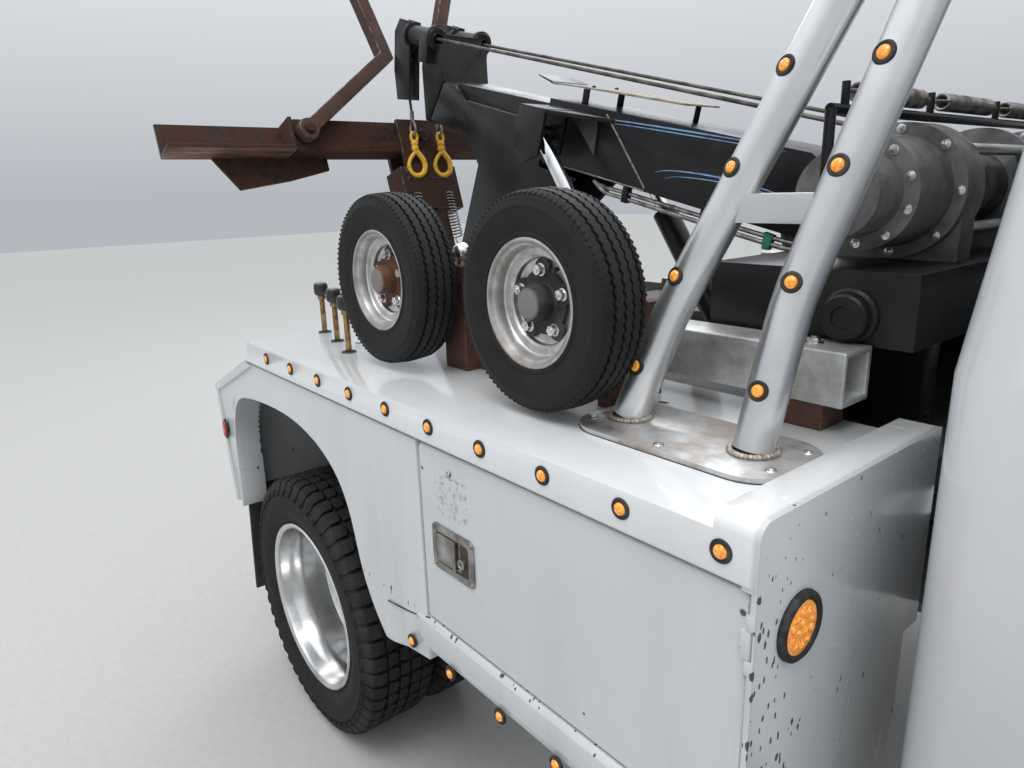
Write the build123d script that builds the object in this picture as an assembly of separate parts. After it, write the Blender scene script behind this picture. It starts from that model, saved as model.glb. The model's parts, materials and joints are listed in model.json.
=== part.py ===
from build123d import *
import math
import os

# All sizes are in millimetres. While the truck is drawn, x is measured forward from the rear axle,
# y to the driver's left from the middle of the truck, and z up from the ground.

# Overall layout
WHEELBASE = 3680
ORIGIN_TO_REAR_AXLE = -1666
BODY_HALF_WIDTH = 1200
DECK_TOP = 1200
BODY_FRONT = 1500
RUN_GAP = 0.08
SEAT_GAP = 0.3

# Road tyres and wheels, 19.5 inch
TYRE_RADIUS = 400
TYRE_HALF_WIDTH = 112.5
BEAD_RADIUS = 247.6
LIP_RADIUS = 260.4
RIM_HALF_WIDTH = 100
RIM_WALL = 10
OUTER_TWIN_Y = 1078
TWIN_SPACING = 255
FRONT_WHEEL_Y = 950
HUB_BORE = 60

# Ladder frame
RAIL_OUTER_Y = 432
RAIL_FLANGE = 80
RAIL_BOTTOM = 760
RAIL_TOP = 940
RAIL_WALL = 9
RAIL_REAR = -530
RAIL_FRONT = 4400

# Boom, drawn level and then laid at its resting slope about the heel pin
BOOM_PIN_X = 1080
BOOM_PIN_Z = 1470
BOOM_SLOPE = 13.5
HEEL_PIN_RADIUS = 32
OUTER_BOOM_HALF_WIDTH = 125
OUTER_BOOM_BOTTOM = -45
OUTER_BOOM_TOP = 165
OUTER_BOOM_END = 1180
OUTER_BOOM_WALL = 12
PAD_GAP = 6
INNER_BOOM_WALL = 10
INNER_BOOM_TAIL = 330
INNER_BOOM_END = 1940
LEG_PLATE = 18

# Lift cylinders between the frame and the outer boom
LIFT_PIN_S = 1110
LIFT_PIN_T = 60
LIFT_BASE_X = 560
LIFT_BASE_Z = 985
LIFT_Y = 215
LIFT_BARREL_RADIUS = 44
LIFT_ROD_RADIUS = 24
LIFT_PIN_RADIUS = 20

# Wheel lift, drawn upright and then laid at its stowed lean about the fold pin
FOLD_PIN_X = -840
FOLD_PIN_Z = 980
LIFT_LEAN = -18
FOLD_PIN_RADIUS = 28
STINGER_LENGTH = 900
STINGER_HALF_WIDTH = 62
STINGER_HALF_DEPTH = 55
CROSSBAR_HALF_LENGTH = 600
CROSSBAR_HALF_HEIGHT = 66
CROSSBAR_HALF_DEPTH = 52
SCOOP_END = 1115
CLAW_PIN_Y = 560
CLAW_PIN_Z = 5
CLAW_TUBE = 58
CLAW_LEG_ONE = 563
CLAW_LEG_TWO = 460
CLAW_TURN = 66
CLAW_REST_RIGHT = 37.5
CLAW_REST_LEFT = 48

# Dolly wheels that stand on the deck, 8 inch
DOLLY_TYRE_RADIUS = 200
DOLLY_TYRE_WIDTH = 112
DOLLY_LIP_RADIUS = 115
DOLLY_WHEEL_Y = 1030
DOLLY_X = (402, 945)
DOLLY_AXLE_Z = 1412
DOLLY_BORE = 22

# Winches
WINCH_X = 1300
WINCH_Z = 1585
DRUM_RADIUS = 62
DRUM_FLANGE_RADIUS = 108
DRUM_LENGTH = 285
GEARBOX_RADIUS = 120
GEARBOX_LENGTH = 300
WINCH_SHAFT_RADIUS = 25
WINCH_OUTER_Y = (-705, -60)

# Cab
CAB_BACK = 1590
CAB_HALF_WIDTH = 1000
CAB_ROOF_HALF_WIDTH = 815
CAB_SILL = 620
CAB_FLOOR = 960
CAB_BELT = 1380
CAB_ROOF = 2030
CAB_WALL = 48
CAB_CORNER = 70
COWL_X = 3210
NOSE_X = 4480
BUMPER_FACE = 4660
DOOR_REAR = 1960
DOOR_FRONT = 2985
DOOR_BOTTOM = 660
DOOR_GAP = 5
DOOR_POST = 3045
CAB_HINGE_X = 2983
CAB_HINGE_Y = 1004
HOOD_HINGE_X = 3219
HOOD_HINGE_Z = 1392
HOOD_LUG_Y = 500

# Tool boxes
TOOL_DOOR_REAR = 729
TOOL_DOOR_FRONT = 1488
TOOL_DOOR_BOTTOM = 731
TOOL_DOOR_TOP = 1128
TOOL_DOOR_THICK = 28
BOX_BOTTOM = 618
BOX_INNER_Y = 690
BODY_WALL = 22
RAIL_SEAM = 1138
TOOL_HINGE_X = 1490
TOOL_HINGE_Y = 1194.5


def block(x0, x1, y0, y1, z0, z1):
    return Pos((x0 + x1) / 2, (y0 + y1) / 2, (z0 + z1) / 2) * Box(x1 - x0, y1 - y0, z1 - z0)


def round_bar(axis, centre, radius, length):
    turns = {"x": Rot(0, 90, 0), "y": Rot(90, 0, 0), "z": Rot(0, 0, 0)}
    return Pos(*centre) * turns[axis] * Cylinder(radius, length)


def pipe(axis, centre, outer, inner, length):
    return round_bar(axis, centre, outer, length) - round_bar(axis, centre, inner, length + 2)


def side_plate(points, y0, y1):
    face = make_face(Polyline(*[(x, y0, z) for x, z in points], close=True))
    return extrude(face, amount=y1 - y0, dir=(0, 1, 0))


def top_plate(points, z0, z1):
    face = make_face(Polyline(*[(x, y, z0) for x, y in points], close=True))
    return extrude(face, amount=z1 - z0, dir=(0, 0, 1))


def front_plate(points, x0, x1):
    face = make_face(Polyline(*[(x0, y, z) for y, z in points], close=True))
    return extrude(face, amount=x1 - x0, dir=(1, 0, 0))


def turned(points, centre):
    """A solid of revolution about a line along y through centre; points are (radius, y)."""
    face = make_face(Polyline(*[(r, y, 0) for r, y in points], close=True))
    ring = revolve(face, axis=Axis.Y, revolution_arc=360)
    return Pos(centre[0], 0, centre[1]) * ring


def other_side(shape):
    return shape.mirror(Plane.XZ)


def vertical_hinge(x, y, z, reach, radius, pin, tongue):
    """Fixed leaf ahead of the pin, swinging leaf behind it, and the room each leaf needs in the other part."""
    end = tongue / 2
    half = tongue / 4
    fixed = round_bar("z", (x, y, z), pin, 2 * tongue)
    swing = round_bar("z", (x, y, z), radius, tongue) + block(x - reach, x, y - radius, y + radius, z - end, z + end)
    swing -= round_bar("z", (x, y, z), pin + RUN_GAP, tongue + 10)
    fixed_room = round_bar("z", (x, y, z), radius + 3.5, tongue + 2)
    swing_room = None
    for sign in (-1, 1):
        zc = z + sign * (end + 1 + half)
        fixed += round_bar("z", (x, y, zc), radius, end)
        fixed += block(x, x + reach, y - radius, y + radius, zc - half, zc + half)
        room = round_bar("z", (x, y, z + sign * (end + 1 + half + 6)), radius + 1.5, end + 14)
        swing_room = room if swing_room is None else swing_room + room
    return fixed, swing, fixed_room, swing_room


def save(name, *solids):
    placed = [Pos(ORIGIN_TO_REAR_AXLE, 0, 0) * s for s in solids]
    flat = []
    for item in placed:
        flat.extend(item.solids())
    shape = flat[0] if len(flat) == 1 else Compound(children=flat)
    export_step(shape, f"parts/{name}.step")
    total = sum(s.volume for s in flat) / 1e9
    print(f"{name:26s} solids {len(flat):2d} volume {total:.5f} m3")


os.makedirs("parts", exist_ok=True)

# Road tyres: plain rings with a rounded shoulder, seated on the rims
TYRE_SECTION = (
    (BEAD_RADIUS + SEAT_GAP, -0.775),
    (LIP_RADIUS + 0.5, -0.8),
    (LIP_RADIUS + 6, -0.88),
    (BEAD_RADIUS + 45, -0.96),
    (BEAD_RADIUS + 80, -1.0),
    (TYRE_RADIUS - 32, -0.95),
    (TYRE_RADIUS - 9, -0.86),
    (TYRE_RADIUS, -0.72),
    (TYRE_RADIUS, 0.72),
    (TYRE_RADIUS - 9, 0.86),
    (TYRE_RADIUS - 32, 0.95),
    (BEAD_RADIUS + 80, 1.0),
    (BEAD_RADIUS + 45, 0.96),
    (LIP_RADIUS + 6, 0.88),
    (LIP_RADIUS + 0.5, 0.8),
    (BEAD_RADIUS + SEAT_GAP, 0.775),
)


def road_tyre(x, y):
    return turned([(r, y + w * TYRE_HALF_WIDTH) for r, w in TYRE_SECTION], (x, TYRE_RADIUS))


def rim_barrel(x, y):
    """Barrel with two lips; the lip faces stand RIM_HALF_WIDTH either side of the middle."""
    w = RIM_HALF_WIDTH
    r = BEAD_RADIUS
    section = (
        (r - RIM_WALL, y - w),
        (LIP_RADIUS, y - w),
        (LIP_RADIUS, y - w + 9),
        (r, y - w + 12),
        (r, y + w - 12),
        (LIP_RADIUS, y + w - 9),
        (LIP_RADIUS, y + w),
        (r - RIM_WALL, y + w),
    )
    return turned(section, (x, TYRE_RADIUS))


TWIN_MATE_Y = OUTER_TWIN_Y - TWIN_SPACING / 2
DISC_THICK = 22


def rear_rims():
    barrels = rim_barrel(0, OUTER_TWIN_Y) + rim_barrel(0, OUTER_TWIN_Y - TWIN_SPACING)
    disc = turned(
        (
            (HUB_BORE + RUN_GAP, TWIN_MATE_Y - DISC_THICK),
            (BEAD_RADIUS - RIM_WALL - 60, TWIN_MATE_Y - DISC_THICK),
            (BEAD_RADIUS - 6, TWIN_MATE_Y - 70),
            (BEAD_RADIUS - 6, TWIN_MATE_Y - 48),
            (BEAD_RADIUS - RIM_WALL - 52, TWIN_MATE_Y),
            (BEAD_RADIUS - 6, TWIN_MATE_Y + 48),
            (BEAD_RADIUS - 6, TWIN_MATE_Y + 70),
            (BEAD_RADIUS - RIM_WALL - 60, TWIN_MATE_Y + DISC_THICK),
            (HUB_BORE + RUN_GAP, TWIN_MATE_Y + DISC_THICK),
        ),
        (0, TYRE_RADIUS),
    )
    cap = turned(
        (
            (HUB_BORE + 12, TWIN_MATE_Y + DISC_THICK - 2),
            (HUB_BORE + 22, TWIN_MATE_Y + DISC_THICK - 2),
            (HUB_BORE + 22, TWIN_MATE_Y + 95),
            (HUB_BORE - 10, TWIN_MATE_Y + 118),
            (0, TWIN_MATE_Y + 118),
            (0, TWIN_MATE_Y + 108),
            (HUB_BORE + 12, TWIN_MATE_Y + 90),
        ),
        (0, TYRE_RADIUS),
    )
    return barrels + disc + cap


rear_tyres_left = [road_tyre(0, OUTER_TWIN_Y), road_tyre(0, OUTER_TWIN_Y - TWIN_SPACING)]
save("rear_tyres_left", *rear_tyres_left)
save("rear_tyres_right", *[other_side(t) for t in rear_tyres_left])
rear_rims_left = rear_rims()
save("rear_rims_left", rear_rims_left)
save("rear_rims_right", other_side(rear_rims_left))

# Front wheels with a convex disc, on spindles that turn with the knuckles
SPINDLE_RADIUS = 42
FRONT_DISC_Y = FRONT_WHEEL_Y + 40


def front_rim():
    barrel = rim_barrel(WHEELBASE, FRONT_WHEEL_Y)
    disc = turned(
        (
            (SPINDLE_RADIUS + RUN_GAP, FRONT_DISC_Y - 100),
            (105, FRONT_DISC_Y - 100),
            (105, FRONT_DISC_Y - 22),
            (BEAD_RADIUS - 70, FRONT_DISC_Y - 22),
            (BEAD_RADIUS - 6, FRONT_DISC_Y - 75),
            (BEAD_RADIUS - 6, FRONT_DISC_Y - 50),
            (BEAD_RADIUS - 62, FRONT_DISC_Y),
            (95, FRONT_DISC_Y),
            (95, FRONT_DISC_Y + 60),
            (70, FRONT_DISC_Y + 80),
            (0, FRONT_DISC_Y + 80),
            (0, FRONT_DISC_Y + 66),
            (SPINDLE_RADIUS + RUN_GAP, FRONT_DISC_Y + 40),
        ),
        (WHEELBASE, TYRE_RADIUS),
    )
    return barrel + disc


front_tyre_left = road_tyre(WHEELBASE, FRONT_WHEEL_Y)
save("front_tyre_left", front_tyre_left)
save("front_tyre_right", other_side(front_tyre_left))
front_rim_left = front_rim()
save("front_rim_left", front_rim_left)
save("front_rim_right", other_side(front_rim_left))

KINGPIN_Y = 775
KINGPIN_RADIUS = 20
BEAM_TOP = 350
knuckle_left = (
    block(WHEELBASE - 55, WHEELBASE + 55, KINGPIN_Y - 45, KINGPIN_Y + 45, BEAM_TOP + 2, 500)
    + round_bar("y", (WHEELBASE, (KINGPIN_Y + FRONT_DISC_Y + 30) / 2, TYRE_RADIUS), SPINDLE_RADIUS,
                FRONT_DISC_Y + 30 - KINGPIN_Y)
    - round_bar("z", (WHEELBASE, KINGPIN_Y, 440), KINGPIN_RADIUS + RUN_GAP, 200)
)
save("steering_knuckle_left", knuckle_left)
save("steering_knuckle_right", other_side(knuckle_left))

# Ladder frame: two channel rails, with channel crossmembers and the lift cylinders' beam fitted between their webs
rail = block(RAIL_REAR, RAIL_FRONT, RAIL_OUTER_Y - RAIL_FLANGE, RAIL_OUTER_Y, RAIL_BOTTOM, RAIL_TOP) - block(
    RAIL_REAR - 1, RAIL_FRONT + 1, RAIL_OUTER_Y - RAIL_FLANGE - 1, RAIL_OUTER_Y - RAIL_WALL,
    RAIL_BOTTOM + RAIL_WALL, RAIL_TOP - RAIL_WALL)
RAIL_WEB_Y = RAIL_OUTER_Y - RAIL_WALL
CROSS_END = RAIL_WEB_Y - SEAT_GAP
CROSS_LOW = RAIL_BOTTOM + 20
CROSS_HIGH = RAIL_BOTTOM + 104
crossmembers = []
for x in (195, 1450, 2500, 4330):
    crossmembers.append(side_plate(
        ((x - 20, CROSS_LOW), (x + 20, CROSS_LOW), (x + 20, CROSS_LOW + 7), (x - 13, CROSS_LOW + 7),
         (x - 13, CROSS_HIGH - 7), (x + 20, CROSS_HIGH - 7), (x + 20, CROSS_HIGH), (x - 20, CROSS_HIGH)),
        -CROSS_END, CROSS_END))
lift_beam = block(LIFT_BASE_X - 45, LIFT_BASE_X + 45, -CROSS_END, CROSS_END, 800, 890)
for side in (-1, 1):
    for ear in (-1, 1):
        y = side * LIFT_Y + ear * 52
        lift_beam += side_plate(
            ((LIFT_BASE_X - 42, 880), (LIFT_BASE_X + 42, 880), (LIFT_BASE_X + 30, LIFT_BASE_Z + 34),
             (LIFT_BASE_X - 30, LIFT_BASE_Z + 34)), y - 7, y + 7)
    lift_beam += round_bar("y", (LIFT_BASE_X, side * LIFT_Y, LIFT_BASE_Z), LIFT_PIN_RADIUS, 118)
save("frame_rails", rail, other_side(rail), lift_beam, *crossmembers)

# Axles and springs
AXLE_TUBE = 58
rear_axle = (
    round_bar("y", (0, 0, TYRE_RADIUS), AXLE_TUBE, 2 * (TWIN_MATE_Y - 40))
    + round_bar("y", (0, 0, TYRE_RADIUS), HUB_BORE, 2 * (TWIN_MATE_Y + 60))
    + round_bar("x", (0, 0, TYRE_RADIUS), 165, 150)
    + Pos(140, 0, TYRE_RADIUS) * Rot(0, 90, 0) * Cone(150, 62, 147)
)
front_axle = block(WHEELBASE - 40, WHEELBASE + 40, -KINGPIN_Y - 40, KINGPIN_Y + 40, BEAM_TOP - 72, BEAM_TOP)
for side in (-1, 1):
    front_axle += round_bar("z", (WHEELBASE, side * KINGPIN_Y, BEAM_TOP + 62), KINGPIN_RADIUS, 124)
save("axles", rear_axle, front_axle)

SPRING_Y = 478
SPRING_WIDTH = 70


def leaf_pack(x, seat_z, half, rise):
    top = [(x - half, seat_z + rise), (x - half * 0.5, seat_z + rise * 0.35), (x, seat_z + 62),
           (x + half * 0.5, seat_z + rise * 0.35), (x + half, seat_z + rise)]
    low = [(x + half, seat_z + rise - 14), (x + half * 0.5, seat_z + rise * 0.35 - 36), (x + 70, seat_z),
           (x - 70, seat_z), (x - half * 0.5, seat_z + rise * 0.35 - 36), (x - half, seat_z + rise - 14)]
    pack = side_plate(top + low, SPRING_Y - SPRING_WIDTH / 2, SPRING_Y + SPRING_WIDTH / 2)
    for end in (-1, 1):
        ex = x + end * half
        pack += round_bar("y", (ex, SPRING_Y, seat_z + rise), 24, SPRING_WIDTH)
        pack += block(ex - 20, ex + 20, RAIL_OUTER_Y + SEAT_GAP, RAIL_OUTER_Y + 20, seat_z + rise - 20, RAIL_TOP - 60)
    return pack


rear_pack = leaf_pack(0, TYRE_RADIUS + HUB_BORE + SEAT_GAP, 500, 230)
front_pack = leaf_pack(WHEELBASE, BEAM_TOP + SEAT_GAP, 560, 270)
save("leaf_springs", rear_pack, other_side(rear_pack), front_pack, other_side(front_pack))

# Engine, one plain mass on a mount over the rails, with the gearbox behind it and the shaft to the rear axle
GEARBOX_REAR = 2560
engine = block(3270, 4080, -290, 290, 640, 1230) + block(3450, 3550, -420, 420, RAIL_TOP + SEAT_GAP, 1000)
gearbox = front_plate(
    ((-190, 600), (-120, 560), (120, 560), (190, 600), (190, 800), (130, 860), (-130, 860), (-190, 800)),
    GEARBOX_REAR, 3270 - SEAT_GAP)
SHAFT_REAR = 214
SHAFT_FRONT = 2580
GEARBOX_Z = 700
shaft_mid = (SHAFT_REAR + SHAFT_FRONT) / 2
shaft_run = SHAFT_FRONT - SHAFT_REAR
shaft_tilt = math.degrees(math.atan2(GEARBOX_Z - TYRE_RADIUS, shaft_run))
shaft = Pos(shaft_mid, 0, (GEARBOX_Z + TYRE_RADIUS) / 2) * Rot(0, -shaft_tilt, 0) * round_bar(
    "x", (0, 0, 0), 45, shaft_run)
shaft &= block(0, GEARBOX_REAR - SEAT_GAP, -100, 100, 200, 900)
save("engine", engine, gearbox, shaft)

fuel_tank = block(1620, 2420, RAIL_OUTER_Y + SEAT_GAP, 780, 560, 880)
fuel_tank = fillet(fuel_tank.edges().filter_by(Axis.X), 40)
save("fuel_tank", fuel_tank)

# Cab: lofted through rounded plan sections from sill to roof, cut to its side profile and hollowed
side_profile = [
    (1500, CAB_SILL), (1500, CAB_ROOF), (2520, CAB_ROOF), (2620, CAB_ROOF - 40), (COWL_X, CAB_BELT + 10),
    (COWL_X, CAB_SILL),
]
CAB_LEVELS = (
    (CAB_SILL, CAB_BACK, CAB_HALF_WIDTH - 30),
    (CAB_SILL + 160, CAB_BACK, CAB_HALF_WIDTH),
    (CAB_BELT, CAB_BACK, CAB_HALF_WIDTH),
    (CAB_ROOF - 60, CAB_BACK + 30, CAB_ROOF_HALF_WIDTH),
    (CAB_ROOF - 22, CAB_BACK + 46, CAB_ROOF_HALF_WIDTH - 18),
    (CAB_ROOF - 4, CAB_BACK + 76, CAB_ROOF_HALF_WIDTH - 52),
    (CAB_ROOF + 2, CAB_BACK + 120, CAB_ROOF_HALF_WIDTH - 100),
)
plan_sections = [
    Pos((rear + 3500) / 2, 0, z) * RectangleRounded(3500 - rear, 2 * half, CAB_CORNER) for z, rear, half in CAB_LEVELS
]
cab_outer = loft(plan_sections, ruled=True) & side_plate(side_profile, -1100, 1100)
w = CAB_WALL
inner_side = [
    (CAB_BACK + w, CAB_FLOOR + w), (CAB_BACK + w, CAB_BELT), (CAB_BACK + 30 + w, CAB_ROOF - 60 - w),
    (CAB_BACK + 120 + w, CAB_ROOF - w), (2510, CAB_ROOF - w), (2590, CAB_ROOF - 40 - w),
    (COWL_X - w, CAB_BELT + 10 - w), (COWL_X - w, CAB_FLOOR + w),
]
inner_front = [
    (-CAB_HALF_WIDTH + w, CAB_FLOOR + w), (-CAB_HALF_WIDTH + w, CAB_BELT),
    (-CAB_ROOF_HALF_WIDTH + w, CAB_ROOF - 60 - w), (-CAB_ROOF_HALF_WIDTH + 90 + w, CAB_ROOF - w),
    (CAB_ROOF_HALF_WIDTH - 90 - w, CAB_ROOF - w), (CAB_ROOF_HALF_WIDTH - w, CAB_ROOF - 60 - w),
    (CAB_HALF_WIDTH - w, CAB_BELT), (CAB_HALF_WIDTH - w, CAB_FLOOR + w),
]
cab_inner = side_plate(inner_side, -1100, 1100) & front_plate(inner_front, 1400, 3400)
tunnel = block(1400, 3400, -CAB_HALF_WIDTH + 130, CAB_HALF_WIDTH - 130, 500, CAB_FLOOR)
cab_skin = cab_outer - cab_inner - tunnel

door_outline = [
    (DOOR_REAR, DOOR_BOTTOM), (DOOR_REAR, CAB_ROOF - 95), (2500, CAB_ROOF - 95),
    (DOOR_FRONT, CAB_BELT + 60), (DOOR_FRONT, DOOR_BOTTOM),
]
g = DOOR_GAP
door_blank = [
    (DOOR_REAR + g + 2, DOOR_BOTTOM + g), (DOOR_REAR + g + 2, CAB_BELT), (DOOR_REAR + g + 12, CAB_ROOF - 95 - g),
    (2500 - g, CAB_ROOF - 95 - g), (DOOR_FRONT - g, CAB_BELT + 60 - g), (DOOR_FRONT - g, DOOR_BOTTOM + g),
]
window_outline = [
    (DOOR_REAR + 75, CAB_BELT + 25), (DOOR_REAR + 75, CAB_ROOF - 170), (2470, CAB_ROOF - 170),
    (DOOR_FRONT - 130, CAB_BELT + 40), (DOOR_FRONT - 130, CAB_BELT + 25),
]
DOOR_INNER_Y = 700


def skin_depth(depth):
    """The outer layer of the cab's side, this deep, running on past the shell outwards."""
    low = CAB_HALF_WIDTH - depth
    high = CAB_ROOF_HALF_WIDTH - depth
    return front_plate(
        ((low, CAB_SILL - 50), (low, CAB_BELT), (high, CAB_ROOF - 60), (high, CAB_ROOF), (1100, CAB_ROOF),
         (1100, CAB_SILL - 50)), 1500, 3400)


door_hole = side_plate(door_outline, DOOR_INNER_Y, 1100) & skin_depth(CAB_WALL + 8)
door_left = cab_skin & side_plate(door_blank, DOOR_INNER_Y, 1100) & skin_depth(CAB_WALL)
door_left -= side_plate(window_outline, DOOR_INNER_Y, 1100)
back_window = front_plate(
    ((-600, CAB_BELT + 60), (-560, CAB_ROOF - 150), (560, CAB_ROOF - 150), (600, CAB_BELT + 60)), 1400, 1760)
quarter = side_plate(
    ((CAB_BACK + 120, CAB_BELT + 40), (CAB_BACK + 140, CAB_ROOF - 170), (DOOR_REAR - 60, CAB_ROOF - 170),
     (DOOR_REAR - 60, CAB_BELT + 40)), DOOR_INNER_Y, 1100)
cab_shell = cab_skin - door_hole - other_side(door_hole) - back_window - quarter - other_side(quarter)
# Glass: one pane for each opening, a little smaller than its hole
PANE = 6
PANE_GAP = SEAT_GAP
screen_top = (2620, CAB_ROOF - 40)
screen_base = (COWL_X, CAB_BELT + 10)
run = math.hypot(screen_base[0] - screen_top[0], screen_top[1] - screen_base[1])
screen_normal = ((screen_top[1] - screen_base[1]) / run, 0, (screen_base[0] - screen_top[0]) / run)
screen_mid = ((screen_top[0] + screen_base[0]) / 2, 0, (screen_top[1] + screen_base[1]) / 2)
screen_plane = Plane(origin=screen_mid, x_dir=(0, 1, 0), z_dir=screen_normal)


def screen_slab(grow, low, high):
    half = run / 2
    corners = (
        (-690 - grow, half - 62 + grow), (690 + grow, half - 62 + grow),
        (855 + grow, -half + 95 - grow), (-855 - grow, -half + 95 - grow),
    )
    face = make_face(Polyline(*[(x, y * -1) for x, y in corners], close=True))
    flip = screen_plane.z_dir.cross(screen_plane.x_dir)
    if flip.Z > 0:
        face = make_face(Polyline(*[(x, y) for x, y in corners], close=True))
    return screen_plane * (Pos(0, 0, low) * extrude(face, amount=high - low, dir=(0, 0, 1)))


# The shell, with its door posts, cowl lugs for the hood and four mounts over the rails
for side in (-1, 1):
    outer = side * 870
    cab_shell -= block(DOOR_POST, COWL_X + 1, min(outer, side * 1100), max(outer, side * 1100), 500, CAB_BELT + 12)
    footwell = block(DOOR_POST - 30, COWL_X, min(side * 826, outer), max(side * 826, outer), CAB_FLOOR, CAB_BELT + 60)
    footwell += block(DOOR_POST - 30, DOOR_POST, min(side * 826, side * 990), max(side * 826, side * 990), CAB_FLOOR,
                      CAB_BELT + 200)
    cab_shell += footwell & cab_outer
    for x in (1700, 2880):
        y = side * (RAIL_OUTER_Y - RAIL_FLANGE / 2)
        cab_shell += block(x, x + 60, y - 40, y + 40, RAIL_TOP + SEAT_GAP, CAB_FLOOR + 5)
    for edge in (-1, 1):
        y = side * HOOD_LUG_Y + edge * 17
        cab_shell += block(COWL_X - 20, HOOD_HINGE_X, y - 5, y + 5, HOOD_HINGE_Z - 26, HOOD_HINGE_Z - 2)
        cab_shell += round_bar("y", (HOOD_HINGE_X, y, HOOD_HINGE_Z), 8, 10)
    cab_shell += round_bar("y", (HOOD_HINGE_X, side * HOOD_LUG_Y, HOOD_HINGE_Z), 4, 40)
cab_shell -= screen_slab(0, -CAB_WALL - 60, 40)
mirror = block(2890, 2930, 1062, 1262, 1400, 1790)
mirror = fillet(mirror.edges().filter_by(Axis.X), 24)
for z in (1425, 1365):
    mirror += block(2902, 2918, 975, 1090, z, z + 16)
mirror += block(2902, 2918, 1074, 1090, 1365, 1410)
for z in (830, 1290):
    fixed, swing, fixed_room, swing_room = vertical_hinge(
        CAB_HINGE_X, CAB_HINGE_Y, z, 45, 8, 4, 60)
    cab_shell = cab_shell - fixed_room - other_side(fixed_room) + fixed + other_side(fixed)
    door_left = door_left - swing_room + swing
door_left += mirror
save("cab_shell", cab_shell)
save("cab_door_left", door_left)
save("cab_door_right", other_side(door_left))


def panes(shrink):
    back = front_plate(
        ((-600 + shrink, CAB_BELT + 60 + shrink), (-560 + shrink, CAB_ROOF - 150 - shrink),
         (560 - shrink, CAB_ROOF - 150 - shrink), (600 - shrink, CAB_BELT + 60 + shrink)),
        CAB_BACK + 34, CAB_BACK + 34 + PANE)
    return back


lean_low = (CAB_HALF_WIDTH - 24, CAB_BELT)
lean_high = (CAB_ROOF_HALF_WIDTH - 24, CAB_ROOF - 60)
side_glass_slab = front_plate(
    (lean_low, (lean_low[0] + PANE, lean_low[1]), (lean_high[0] + PANE, lean_high[1]), lean_high), 1500, 3300)
e = PANE_GAP
door_glass_left = side_glass_slab & side_plate(
    ((DOOR_REAR + 75 + e, CAB_BELT + 25 + e), (DOOR_REAR + 75 + e, CAB_ROOF - 170 - e), (2470 - e, CAB_ROOF - 170 - e),
     (DOOR_FRONT - 130 - 2 * e, CAB_BELT + 40 - e), (DOOR_FRONT - 130 - 2 * e, CAB_BELT + 25 + e)), DOOR_INNER_Y, 1100)
quarter_glass = side_glass_slab & side_plate(
    ((CAB_BACK + 120 + e, CAB_BELT + 40 + e), (CAB_BACK + 140 + e, CAB_ROOF - 170 - e),
     (DOOR_REAR - 60 - e, CAB_ROOF - 170 - e), (DOOR_REAR - 60 - e, CAB_BELT + 40 + e)), DOOR_INNER_Y, 1100)
save("cab_glass", screen_slab(-PANE_GAP, -28, -28 + PANE), panes(PANE_GAP), quarter_glass, other_side(quarter_glass))
save("door_glass_left", door_glass_left)
save("door_glass_right", other_side(door_glass_left))

# Inside the cab
seat = (
    block(1880, 2340, -720, 720, 1150, 1300)
    + side_plate(((1880, 1180), (1990, 1180), (1860, 1790), (1770, 1790), (1750, 1700)), -720, 720)
    + block(1930, 2280, -680, 680, CAB_FLOOR + CAB_WALL, 1150)
)
save("bench_seat", seat)
FIREWALL_X = COWL_X - CAB_WALL - SEAT_GAP
dash = side_plate(((2860, 1330), (2900, 1395), (3080, 1395), (FIREWALL_X, 1320), (FIREWALL_X, 1200), (3010, 1130),
                   (2890, 1200)), -820, 820)
wheel_plane = Plane(origin=(2720, 400, 1420), x_dir=(0, 1, 0), z_dir=(-0.84, 0, 0.54))
steering_wheel = wheel_plane * (
    Torus(185, 14) + Box(360, 36, 14) + Pos(0, 0, -60) * Cylinder(32, 130) + Cylinder(58, 26))
column = wheel_plane * (Pos(0, 0, -182) * Cylinder(24, 122))
save("dashboard", dash + steering_wheel + column)

# Front end
FENDER_Y = 1012
FENDER_WALL = 30
ARCH_RADIUS = 486
FENDER_REAR = DOOR_POST + SEAT_GAP
fender_side = ((FENDER_REAR, 640), (FENDER_REAR, CAB_BELT), (3700, 1350), (4200, 1285),
               (4400, 1200), (NOSE_X - 40, 1150), (NOSE_X - 40, 780), (4300, 700), (4150, 640))
fender_front = ((700, 1420), (930, 1360), (1000, 1290), (FENDER_Y, 1200), (FENDER_Y, 800), (990, 640), (700, 640))
k = FENDER_WALL
inner_fender_side = ((DOOR_POST - 5, 600), (DOOR_POST - 5, CAB_BELT - k), (3700, 1350 - k), (4190, 1285 - k),
                     (4380, 1195 - k), (NOSE_X - 40 - k, 1140 - k), (NOSE_X - 40 - k, 600))
inner_fender_front = ((690, 1420 - k), (930 - 8, 1360 - k), (1000 - k, 1290 - 16), (FENDER_Y - k, 1200),
                      (FENDER_Y - k, 800), (990 - k, 600), (690, 600))
fender_left = side_plate(fender_side, 700, 1100) & front_plate(fender_front, 2900, 4500)
fender_left -= side_plate(inner_fender_side, 690, 1100) & front_plate(inner_fender_front, 2900, 4500)
fender_left -= round_bar("y", (WHEELBASE, 900, TYRE_RADIUS + 30), ARCH_RADIUS, 600)
fender_left -= block(DOOR_POST - 20, COWL_X + 6, 600, 870 + SEAT_GAP, 500, 1500)
NOSE_FACE = NOSE_X - 40
NOSE_HALF = 700 - SEAT_GAP
nose_panel = block(NOSE_FACE - 30, NOSE_FACE, -NOSE_HALF, NOSE_HALF, 790, 1140)
nose_panel -= block(4000, 4500, -442, 442, 700, 1090)
save("front_fenders", fender_left, other_side(fender_left), nose_panel)

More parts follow.
